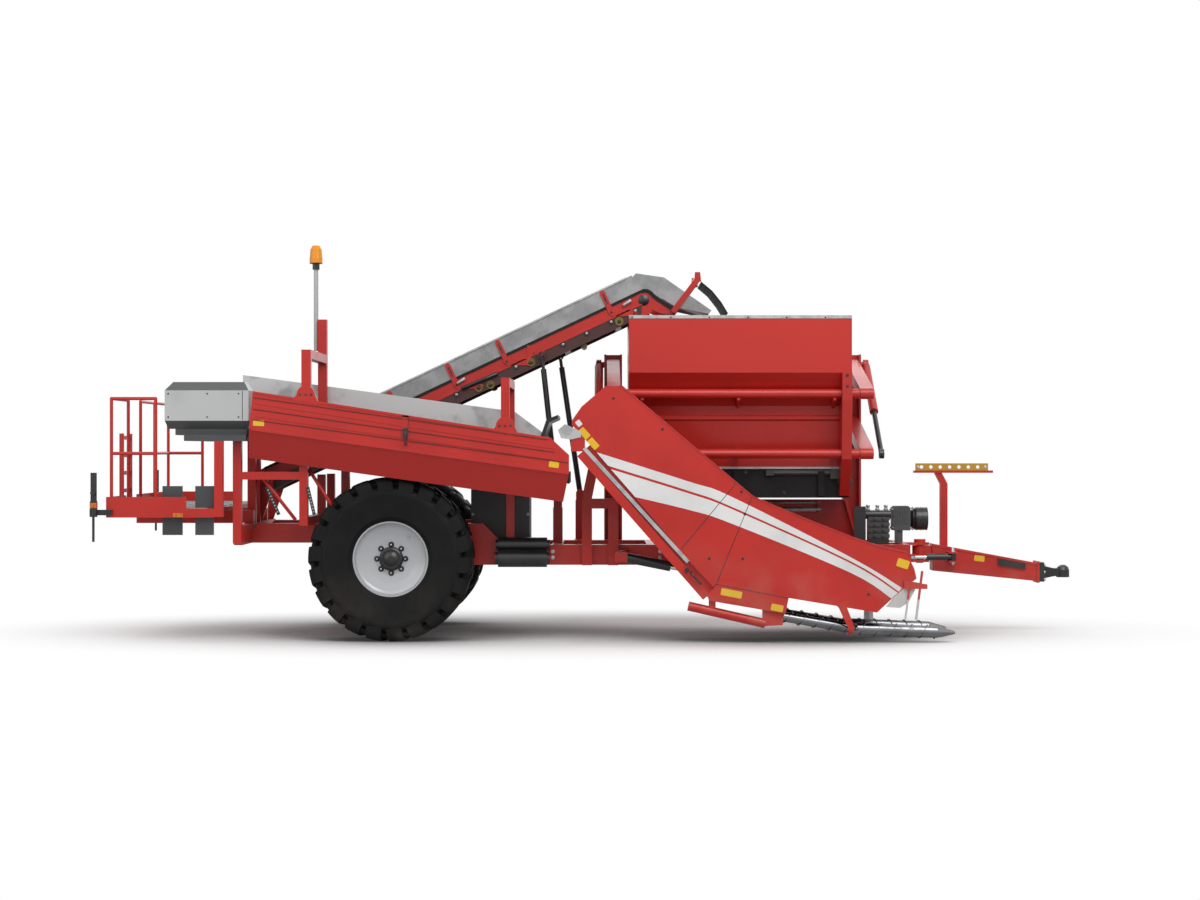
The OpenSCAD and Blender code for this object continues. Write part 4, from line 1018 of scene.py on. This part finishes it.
# u runs up the slope from the foot, v stands square to it, and y is told from each side's outer face
elevatorTrim = {
    "slope": 25.2,
    "sides": ((0.050, -1), (0.750, 1)),
    "guardEdge": ((0.56, 3.94), (0.290, 0.306)), "guardY": (-0.012, 0.010),
    "standU": (0.80, 1.41, 2.03, 2.56, 3.67),
    "standHalf": 0.026, "standTop": 0.262, "standFoot": 0.05, "standSteps": 8, "standY": (0.0005, 0.012),
    "slotHalf": 0.007, "slot": (0.150, 0.255), "slotY": (0.010, 0.0128),
    "gusset": ((-0.032, 0.085), (0.040, 0.085), (0.075, 0.055), (0.20, -0.005), (0.235, -0.050),
               (0.19, -0.066), (-0.010, 0.020)),
    "gussetY": (0.0005, 0.010),
    "standBolts": ((0.0, 0.20), (0.0, 0.062), (0.19, -0.045)), "standBoltOut": 0.011, "standBoltSize": 0.007,
    # cylinder mount and head belt are told in the side view
    "mount": [(-0.660, 2.742), (-0.536, 2.714), (-0.493, 2.685), (-0.497, 2.637), (-0.555, 2.641),
              (-0.597, 2.671), (-0.632, 2.598), (-0.655, 2.598)],
    "mountY": (0.0005, 0.011),
    "headBelt": [(0.443, 3.258), (0.478, 3.268), (0.520, 3.250), (0.560, 3.208), (0.60, 3.178),
                 (0.735, 3.090)],
    "headBeltWidth": 0.034,
    "beltEdge": ((0.02, 4.02), (0.108, 0.134)), "beltY": (-0.002, 0.009),
    "railLip": ((-0.05, 4.0), (0.000, 0.014)), "railLipY": (-0.002, 0.010),
    # return rollers under the belt, as (from y, to y, radius, sides)
    "returnU": (0.9, 1.7, 2.5, 3.3), "returnV": -0.10,
    "returnEnds": ((0.085, 0.255, 0.030, 20), (0.545, 0.715, 0.030, 20)),
    "returnCore": ((0.052, 0.748, 0.012, 12), (0.26, 0.54, 0.031, 20)),
    "pipe": ((2.06, 0.008), (2.43, -0.006)), "pipeOut": 0.024, "pipeSize": 0.020,
    "smallU": (1.74, 1.99, 2.62, 3.12, 3.37, 3.63, 3.885), "smallV": -0.021, "smallSize": 0.026,
    "bigRollers": ((2.21, -0.052), (2.324, -0.075), (2.77, -0.046), (3.70, -0.050)), "bigSize": 0.040,
    # roller of radius 1
    "rollerFace": ((0, 1), (0.012, 1), (0.014, 0.95), (0.014, 0.84), (0.008, 0.82)),
    "rollerCore": ((0.007, 0.83), (0.008, 0.5), (0.018, 0.46), (0.020, 0.3)), "rollerSunk": 0.001,
    "tensionerU": (2.10, 3.86), "tensioner": ((-0.06, 0.07), (0.03, 0.085)), "tensionerOut": 0.022,
    "tensionerSize": 0.016,
    "headDisc": (4.0, 0.035), "headDiscSunk": 0.004,
    "headDiscShape": [(0, 0.052), (0.012, 0.052), (0.016, 0.04), (0.026, 0.016)],
}


def onSlope(u, y, v):
    t = math.radians(elevatorTrim["slope"])
    x, z = elevatorFoot
    return (x + u * math.cos(t) - v * math.sin(t), y, z + u * math.sin(t) + v * math.cos(t))


def slopePlate(p, ring, y0, y1):
    p.loft([[onSlope(u, y, v) for u, v in ring] for y in (y0, y1)], smooth=False)


def slopeBox(p, u, v, y0, y1):
    slopePlate(p, [(u[0], v[0]), (u[1], v[0]), (u[1], v[1]), (u[0], v[1])], y0, y1)


# slotted stand of the side guard with its gusset
def elevatorStand(p, u, y, s):
    k = elevatorTrim
    half, n = k["standHalf"], k["standSteps"]
    ring = [(u + half * math.cos(t), k["standTop"] + half * math.sin(t))
            for t in (math.pi * i / n for i in range(n + 1))]
    ring += [(u - half, k["standFoot"]), (u + half, k["standFoot"])]
    slopePlate(p.use("red"), ring, *levels(y, k["standY"], s))
    slot = (u - k["slotHalf"], u + k["slotHalf"])
    slopeBox(p.use("black"), slot, k["slot"], *levels(y, k["slotY"], s))
    slopePlate(p.use("red"), [(u + a, b) for a, b in k["gusset"]], *levels(y, k["gussetY"], s))
    p.use("black")
    for a, b in k["standBolts"]:
        p.bolt(onSlope(u + a, y + k["standBoltOut"] * s, b), (0, s, 0), k["standBoltSize"])


def elevatorRoller(p, u, v, r, faceFinish, coreFinish, y, s):
    at = onSlope(u, y - elevatorTrim["rollerSunk"] * s, v)
    for finish, shape, sides in ((faceFinish, "rollerFace", 28), (coreFinish, "rollerCore", 20)):
        p.use(finish).turned(at, (0, s, 0), [(t, r * f) for t, f in elevatorTrim[shape]], sides)


def returnRollers(p, parts):
    v = elevatorTrim["returnV"]
    for u in elevatorTrim["returnU"]:
        for y0, y1, r, sides in parts:
            p.tube(onSlope(u, y0, v), onSlope(u, y1, v), r, sides)


def dressElevator():
    k = elevatorTrim
    p = Piece("elevator_trim", "elevator", "red", "zinc", "black", "roller", "belt")
    for y, s in k["sides"]:
        slopeBox(p.use("zinc"), *k["guardEdge"], *levels(y, k["guardY"], s))
        for u in k["standU"]:
            elevatorStand(p, u, y, s)
        p.use("red").sideways(k["mount"], *levels(y, k["mountY"], s))
        slopeBox(p, *k["railLip"], *levels(y, k["railLipY"], s))
        slopeBox(p.use("belt"), *k["beltEdge"], *levels(y, k["beltY"], s))
        for a, b in zip(k["headBelt"], k["headBelt"][1:]):
            strip(p, a, b, k["headBeltWidth"], *levels(y, k["beltY"], s))
        for u in k["smallU"]:
            elevatorRoller(p, u, k["smallV"], k["smallSize"], "black", "zinc", y, s)
        for u, v in k["bigRollers"]:
            elevatorRoller(p, u, v, k["bigSize"], "roller", "black", y, s)
        p.use("zinc")
        for u in k["tensionerU"]:
            ends = (onSlope(u + a, y + k["tensionerOut"] * s, v) for a, v in k["tensioner"])
            p.tube(*ends, k["tensionerSize"], sides=14)
        u, v = k["headDisc"]
        at = onSlope(u, y - k["headDiscSunk"] * s, v)
        p.use("black").turned(at, (0, s, 0), k["headDiscShape"], sides=28)
    returnRollers(p.use("roller"), k["returnEnds"])
    returnRollers(p.use("black"), k["returnCore"])
    nearY, s = k["sides"][0]
    p.tube(*(onSlope(u, nearY + k["pipeOut"] * s, v) for u, v in k["pipe"]), k["pipeSize"], sides=16)
    p.done(bevel=0.002)


platformTrim = {
    # reflector on the deck's edge, with (y, inset) of its layers
    "reflector": ((-3.787, -3.697), (1.131, 1.169)),
    "reflectorLayers": ((1.349, 0), (1.355, 0), (1.357, 0.003)),
    "sideLamp": {"box": ((-4.517, -4.458), (1.366, 1.424), (1.217, 1.262)), "eyeAt": (-4.490, 1.379, 1.350),
                 "eye": [(0, 0.023), (0.008, 0.023), (0.014, 0.016)]},
    "tailLamp": {"box": ((-4.5195, -4.512), (1.370, 1.420), (1.145, 1.210)), "eyeAt": (-4.390, 1.20, 1.262),
                 "eye": [(0, 0.04), (0.004, 0.04), (0.007, 0.03)]},
    "planksX": (-4.25, -4.05, -3.85, -3.65), "plankWidth": 0.16,
    "plankY": (-1.33, 1.33), "plankZ": (1.209, 1.2145),
    "cleats": 9, "cleatStart": -1.22, "cleatStep": 0.305, "cleatHalf": 0.012,
    "cleatX": (-4.36, -3.44), "cleatZ": (1.209, 1.219),
    "coverFace": -1.350,
    "coverBoltX": (-3.83, -3.48, -3.20), "coverBoltZ": (2.03, 2.24), "coverBoltSize": 0.005,
    "coverSeam": ((-3.165, 2.004), (-3.165, 2.264)), "coverSeamWidth": 0.006, "coverSeamY": (0.001, -0.0008),
    # feet of the guard rails on the right and the left side
    "railFeet": ((-1, -4.347), (-1, -3.95), (1, -4.347), (1, -4.0)), "railFootAt": (1.310, 1.205),
    "railFoot": [(0, 0.036), (0.012, 0.036), (0.016, 0.02)],
}


def lampLens(p, lamp, s, way):
    x, y, z = lamp["box"]
    p.box(x, sorted(s * v for v in y), z)
    x, y, z = lamp["eyeAt"]
    p.turned((x, s * y, z), way, lamp["eye"], sides=24)


def dressPlatform():
    k = platformTrim
    p = Piece("platform_trim", "frame", "zinc", "orange", "black", "redLens")
    p.use("orange")
    (x0, x1), (z0, z1) = k["reflector"]
    for s in (-1, 1):
        p.loft([[(x0 + e, s * y, z0 + e), (x1 - e, s * y, z0 + e), (x1 - e, s * y, z1 - e),
                 (x0 + e, s * y, z1 - e)] for y, e in k["reflectorLayers"]], smooth=False)
        lampLens(p, k["sideLamp"], s, (0, s, 0))
    p.use("redLens")
    for s in (-1, 1):
        lampLens(p, k["tailLamp"], s, (-1, 0, 0))
    p.use("zinc")
    for x in k["planksX"]:
        p.box((x, x + k["plankWidth"]), k["plankY"], k["plankZ"])
    for i in range(k["cleats"]):
        y = k["cleatStart"] + i * k["cleatStep"]
        p.box(k["cleatX"], (y - k["cleatHalf"], y + k["cleatHalf"]), k["cleatZ"])
    p.use("black")
    face = k["coverFace"]
    for x in k["coverBoltX"]:
        for z in k["coverBoltZ"]:
            p.bolt((x, face, z), (0, -1, 0), k["coverBoltSize"])
    strip(p, *k["coverSeam"], k["coverSeamWidth"], *levels(face, k["coverSeamY"]))
    y, z = k["railFootAt"]
    for s, x in k["railFeet"]:
        p.turned((x, s * y, z), (0, 0, 1), k["railFoot"], sides=20)
    p.done(bevel=0.0015)


drawbarTrim = {
    "face": -0.095,
    "plateX": 4.273, "plateBoltY": (-0.075, 0.075), "plateBoltZ": (0.500, 0.570, 0.640),
    "plateBoltSize": 0.013,
    "pivotBolt": (3.100, 0.0, 0.8285), "pivotBoltSize": 0.024,
    "label": (3.655, 0.702, 0.098, 0.055, -7),
    "flanges": (((3.215, 0.828), (4.20, 0.646)), ((3.215, 0.600), (4.20, 0.498))),
    "flangeWidth": 0.020, "flangeY": (0.002, -0.006),
    "rackBolts": ((3.100, 0.105, 1.572), (3.745, 0.105, 1.572)), "rackBoltSize": 0.009,
    "steerPin": (3.383, -0.200), "pinTop": 0.766, "pinBottom": 0.674,
    "pinHead": [(0, 0.024), (0.012, 0.024), (0.014, 0.015), (0.05, 0.015)],
    "pinTail": [(0, 0.024), (0.012, 0.024), (0.014, 0.012), (0.03, 0.012)],
}


def dressDrawbar():
    k = drawbarTrim
    face = k["face"]
    p = Piece("drawbar_trim", "drawbar", "red", "steel", "yellow")
    p.use("steel")
    for z in k["plateBoltZ"]:
        for y in k["plateBoltY"]:
            p.bolt((k["plateX"], y, z), (1, 0, 0), k["plateBoltSize"])
    p.bolt(k["pivotBolt"], (0, 0, 1), k["pivotBoltSize"])
    for at in k["rackBolts"]:
        p.bolt(at, (0, -1, 0), k["rackBoltSize"])
    p.turned((*k["steerPin"], k["pinTop"]), (0, 0, 1), k["pinHead"], sides=20)
    p.turned((*k["steerPin"], k["pinBottom"]), (0, 0, -1), k["pinTail"], sides=20)
    p.use("yellow")
    label(p, *k["label"], face)
    p.use("red")
    for a, b in k["flanges"]:
        strip(p, a, b, k["flangeWidth"], *levels(face, k["flangeY"]))
    p.done(bevel=0.0015)


frameTrim = {
    "railFace": 0.580,
    "railBoltX": (-0.4, 0.6, 1.2, 1.8, 2.4), "railBoltZ": (0.735, 0.790), "railBoltSize": 0.011,
    "labels": ((-0.72, 0.775, 0.10, 0.05, 0), (2.70, 0.790, 0.10, 0.08, 0)),
    "braceY": -1.112, "braces": (((-3.06, 1.535), (-2.72, 1.10)), ((-2.60, 1.56), (-2.33, 1.13))),
    "braceSize": 0.016,
    # hanging straps with a row of holes
    "strapX": ((-2.97, -2.86), (-2.60, -2.54)), "strapZ": (1.40, 1.15), "strapY": (-1.200, -1.192),
    "strapWidth": 0.030, "strapSteps": 9, "holeY": -1.1995,
    "hole": [(0, 0.007), (0.001, 0.007), (0.0014, 0.006)],
    "fillerAt": (-0.900, 0.150, 1.459), "filler": [(0, 0.052), (0.018, 0.052), (0.024, 0.046), (0.026, 0.02)],
    "tankBoltX": (-1.16, -0.64), "tankBoltY": -0.300, "tankBoltZ": (0.90, 1.13, 1.37), "tankBoltSize": 0.009,
    # hose ports on the valve block
    "portX": (2.60, 2.69, 2.77), "portY": (-0.075, 0.015), "portZ": 1.160,
    "port": [(0, 0.016), (0.014, 0.016), (0.016, 0.011), (0.034, 0.011), (0.036, 0.014), (0.050, 0.014),
             (0.052, 0.008)],
    # valve slices with two plugs each
    "slices": (0.90, 0.955, 1.01, 1.065), "sliceX": (2.592, 2.798), "sliceY": (-0.1245, -0.118),
    "sliceHeight": 0.034,
    "plugX": (2.655, 2.735), "plugY": -0.124, "plug": [(0, 0.013), (0.018, 0.013), (0.022, 0.009)],
    "hoseY": (-0.060, 0.030), "hoseSize": 0.011,
    "hose": ((2.560, 1.120), (2.520, 1.118), (2.500, 1.08), (2.498, 0.98), (2.505, 0.87)),
    # gearbox bolts as (x, way), and its cooling fins as (y, z)
    "boxBoltX": ((2.835, -1), (2.997, 1)), "boxBoltY": (-0.085, 0.085), "boxBoltZ": (0.992, 1.166),
    "boxBoltSize": 0.010,
    "fins": 6, "finStart": 2.852, "finStep": 0.024, "finWidth": 0.010,
    "finSections": (((-0.113, 0.113), (1.188, 1.200)), ((-0.116, -0.109), (1.03, 1.16))),
    "shaftZ": 1.079, "shieldEnd": 3.165,
    "shieldLip": [(-0.010, 0.1045), (0.002, 0.1045), (0.002, 0.1115), (-0.010, 0.1115)],
    "shieldRingX": (3.030, 3.070, 3.110),
    "shieldRing": [(0.106, -0.005), (0.1125, -0.003), (0.1125, 0.003), (0.106, 0.005)],
}


def dressDrive(p):
    k = frameTrim
    p.use("steel")
    for y in k["portY"]:
        for x in k["portX"]:
            p.turned((x, y, k["portZ"]), (0, 0, 1), k["port"], sides=6)
    for y in k["boxBoltY"]:
        for z in k["boxBoltZ"]:
            for x, way in k["boxBoltX"]:
                p.bolt((x, y, z), (way, 0, 0), k["boxBoltSize"])
    p.use("graphite")
    for z in k["slices"]:
        p.box(k["sliceX"], k["sliceY"], (z, z + k["sliceHeight"]))
        for x in k["plugX"]:
            p.turned((x, k["plugY"], z + k["sliceHeight"] / 2), (0, -1, 0), k["plug"], sides=6)
    for i in range(k["fins"]):
        x = k["finStart"] + i * k["finStep"]
        for y, z in k["finSections"]:
            p.box((x, x + k["finWidth"]), y, z)
    p.use("black")
    for y in k["hoseY"]:
        p.wire(smoothLine([(x, y, z) for x, z in k["hose"]], steps=5), k["hoseSize"])
    ahead = Vector((1, 0, 0))
    p.turned((k["shieldEnd"], 0, k["shaftZ"]), ahead, k["shieldLip"], sides=40)
    for x in k["shieldRingX"]:
        hoop(p, Vector((x, 0, k["shaftZ"])), ahead, k["shieldRing"], sides=48)


def dressStraps(p):
    k = frameTrim
    z0, z1 = k["strapZ"]
    n = k["strapSteps"]
    for x0, x1 in k["strapX"]:
        p.use("black")
        strip(p, (x0, z0), (x1, z1), k["strapWidth"], *k["strapY"])
        p.use("zinc")
        for i in range(1, n):
            at = (x0 + (x1 - x0) * i / n, k["holeY"], z0 + (z1 - z0) * i / n)
            p.turned(at, (0, -1, 0), k["hole"], sides=12)


def dressFrame():
    k = frameTrim
    face = k["railFace"]
    p = Piece("frame_trim", "frame", "red", "steel", "black", "zinc", "graphite", "yellow")
    for ends in k["braces"]:
        p.tube(*((x, k["braceY"], z) for x, z in ends), k["braceSize"], sides=12)
    dressStraps(p)
    p.use("steel")
    for x in k["railBoltX"]:
        for z in k["railBoltZ"]:
            for s in (-1, 1):
                p.bolt((x, s * face, z), (0, s, 0), k["railBoltSize"])
    dressDrive(p)
    p.use("zinc").turned(k["fillerAt"], (0, 0, 1), k["filler"], sides=28)
    for x in k["tankBoltX"]:
        for z in k["tankBoltZ"]:
            p.bolt((x, k["tankBoltY"], z), (0, -1, 0), k["tankBoltSize"])
    p.use("yellow")
    for spot in k["labels"]:
        label(p, *spot, -face)
    p.done(bevel=0.0015)


dressWheel("wheel_trim_right", "wheel_right", -1)
dressWheel("wheel_trim_left", "wheel_left", 1)
stripePickup()
dressPickup()
dressBunker()
makeBunkerRest()
dressTable()
dressElevator()
dressPlatform()
dressDrawbar()
dressFrame()


floorLook = {
    "half": 120.0,
    # contact shade: samples, reach, and the share of open sky from which the floor is bare
    "shadeSamples": 8, "shadeReach": 1.4, "open": (0.3, 1.0),
    "shaded": grey(0.10), "bare": grey(0.94), "unseen": grey(0.6),
    # the floor turns into plain white outside an oval about the machine
    "oval": (5.2, 2.6), "fade": (0.55, 1.25), "glow": 0.97, "leastGlow": 0.03,
}


def floorFinish():
    k = floorLook
    mat = bpy.data.materials.new("paleFloor")
    mat.use_nodes = True
    tree = mat.node_tree
    tree.nodes.clear()
    seen = tree.nodes.new("ShaderNodeLightPath").outputs["Is Camera Ray"]
    near = tree.nodes.new("ShaderNodeAmbientOcclusion")
    near.samples = k["shadeSamples"]
    near.inputs["Distance"].default_value = k["shadeReach"]
    tint = mixColour(tree, ramp(tree, near.outputs["AO"], *k["open"]), k["shaded"], k["bare"])
    matt = tree.nodes.new("ShaderNodeBsdfDiffuse")
    feed(tree, matt.inputs["Color"], mixColour(tree, seen, k["unseen"], tint))
    white = tree.nodes.new("ShaderNodeEmission")
    white.inputs["Color"].default_value = grey(1.0)
    long, wide = k["oval"]
    flat = vectorNode(tree, "MULTIPLY", restSpace(tree), (1 / long, 1 / wide, 0.0))
    reach = vectorNode(tree, "LENGTH", flat.outputs[0])
    away = mathNode(tree, "MULTIPLY", ramp(tree, reach.outputs["Value"], *k["fade"]), k["glow"])
    away = mathNode(tree, "ADD", away, k["leastGlow"])
    mix = tree.nodes.new("ShaderNodeMixShader")
    feed(tree, mix.inputs["Fac"], mathNode(tree, "MULTIPLY", seen, away))
    feed(tree, mix.inputs[1], matt.outputs[0])
    feed(tree, mix.inputs[2], white.outputs[0])
    feed(tree, tree.nodes.new("ShaderNodeOutputMaterial").inputs["Surface"], mix.outputs[0])
    return mat


def makeFloor():
    half = floorLook["half"]
    mesh = bpy.data.meshes.new("floor")
    corners = [(-half, -half, 0), (half, -half, 0), (half, half, 0), (-half, half, 0)]
    mesh.from_pydata(corners, [], [(0, 1, 2, 3)])
    obj = bpy.data.objects.new("floor", mesh)
    scene.collection.objects.link(obj)
    mesh.materials.append(floorFinish())


studio = {"strength": 0.46, "seenStrength": 1.0}


# white all round, brighter where it is seen or mirrored than as a light
def makeWorld():
    world = bpy.data.worlds.new("studio")
    scene.world = world
    world.use_nodes = True
    tree = world.node_tree
    back = tree.nodes["Background"].inputs
    back["Color"].default_value = grey(1.0)
    path = tree.nodes.new("ShaderNodeLightPath").outputs
    n = tree.nodes.new("ShaderNodeMapRange")
    n.inputs["To Min"].default_value = studio["strength"]
    n.inputs["To Max"].default_value = studio["seenStrength"]
    feed(tree, n.inputs["Value"], mathNode(tree, "MAXIMUM", path["Is Camera Ray"], path["Is Glossy Ray"]))
    feed(tree, back["Strength"], n.outputs["Result"])


lamps = {
    "key": {"at": (4.5, -9.0, 11.0), "to": (0.0, 0.0, 1.2), "size": 9.0, "watts": 1050.0},
    "fill": {"at": (-9.0, -8.0, 7.0), "to": (-1.0, 0.0, 1.2), "size": 12.0, "watts": 350.0},
    "rear": {"at": (1.0, 11.0, 9.0), "to": (0.0, 0.0, 1.0), "size": 12.0, "watts": 420.0},
}


def addLamp(name, at, to, size, watts):
    lamp = bpy.data.lights.new(name, "AREA")
    lamp.shape = "RECTANGLE"
    lamp.size = size
    lamp.size_y = size
    lamp.energy = watts
    obj = bpy.data.objects.new(name, lamp)
    obj.location = at
    obj.rotation_euler = (Vector(to) - Vector(at)).to_track_quat("-Z", "Y").to_euler()
    scene.collection.objects.link(obj)


camera = {"at": (0.04, -21.2, 1.735), "lens": 66.45, "sensor": 36.0, "clipEnd": 300.0}


# level camera that looks square at the right side
def makeCamera():
    cam = bpy.data.cameras.new("photo")
    cam.sensor_width = camera["sensor"]
    cam.lens = camera["lens"]
    cam.clip_end = camera["clipEnd"]
    obj = bpy.data.objects.new("photo", cam)
    obj.location = camera["at"]
    obj.rotation_euler = (math.pi / 2, 0.0, 0.0)
    scene.collection.objects.link(obj)
    scene.camera = obj


makeFloor()
makeWorld()
for name, lamp in lamps.items():
    addLamp(name, **lamp)
makeCamera()
print("stage ready")
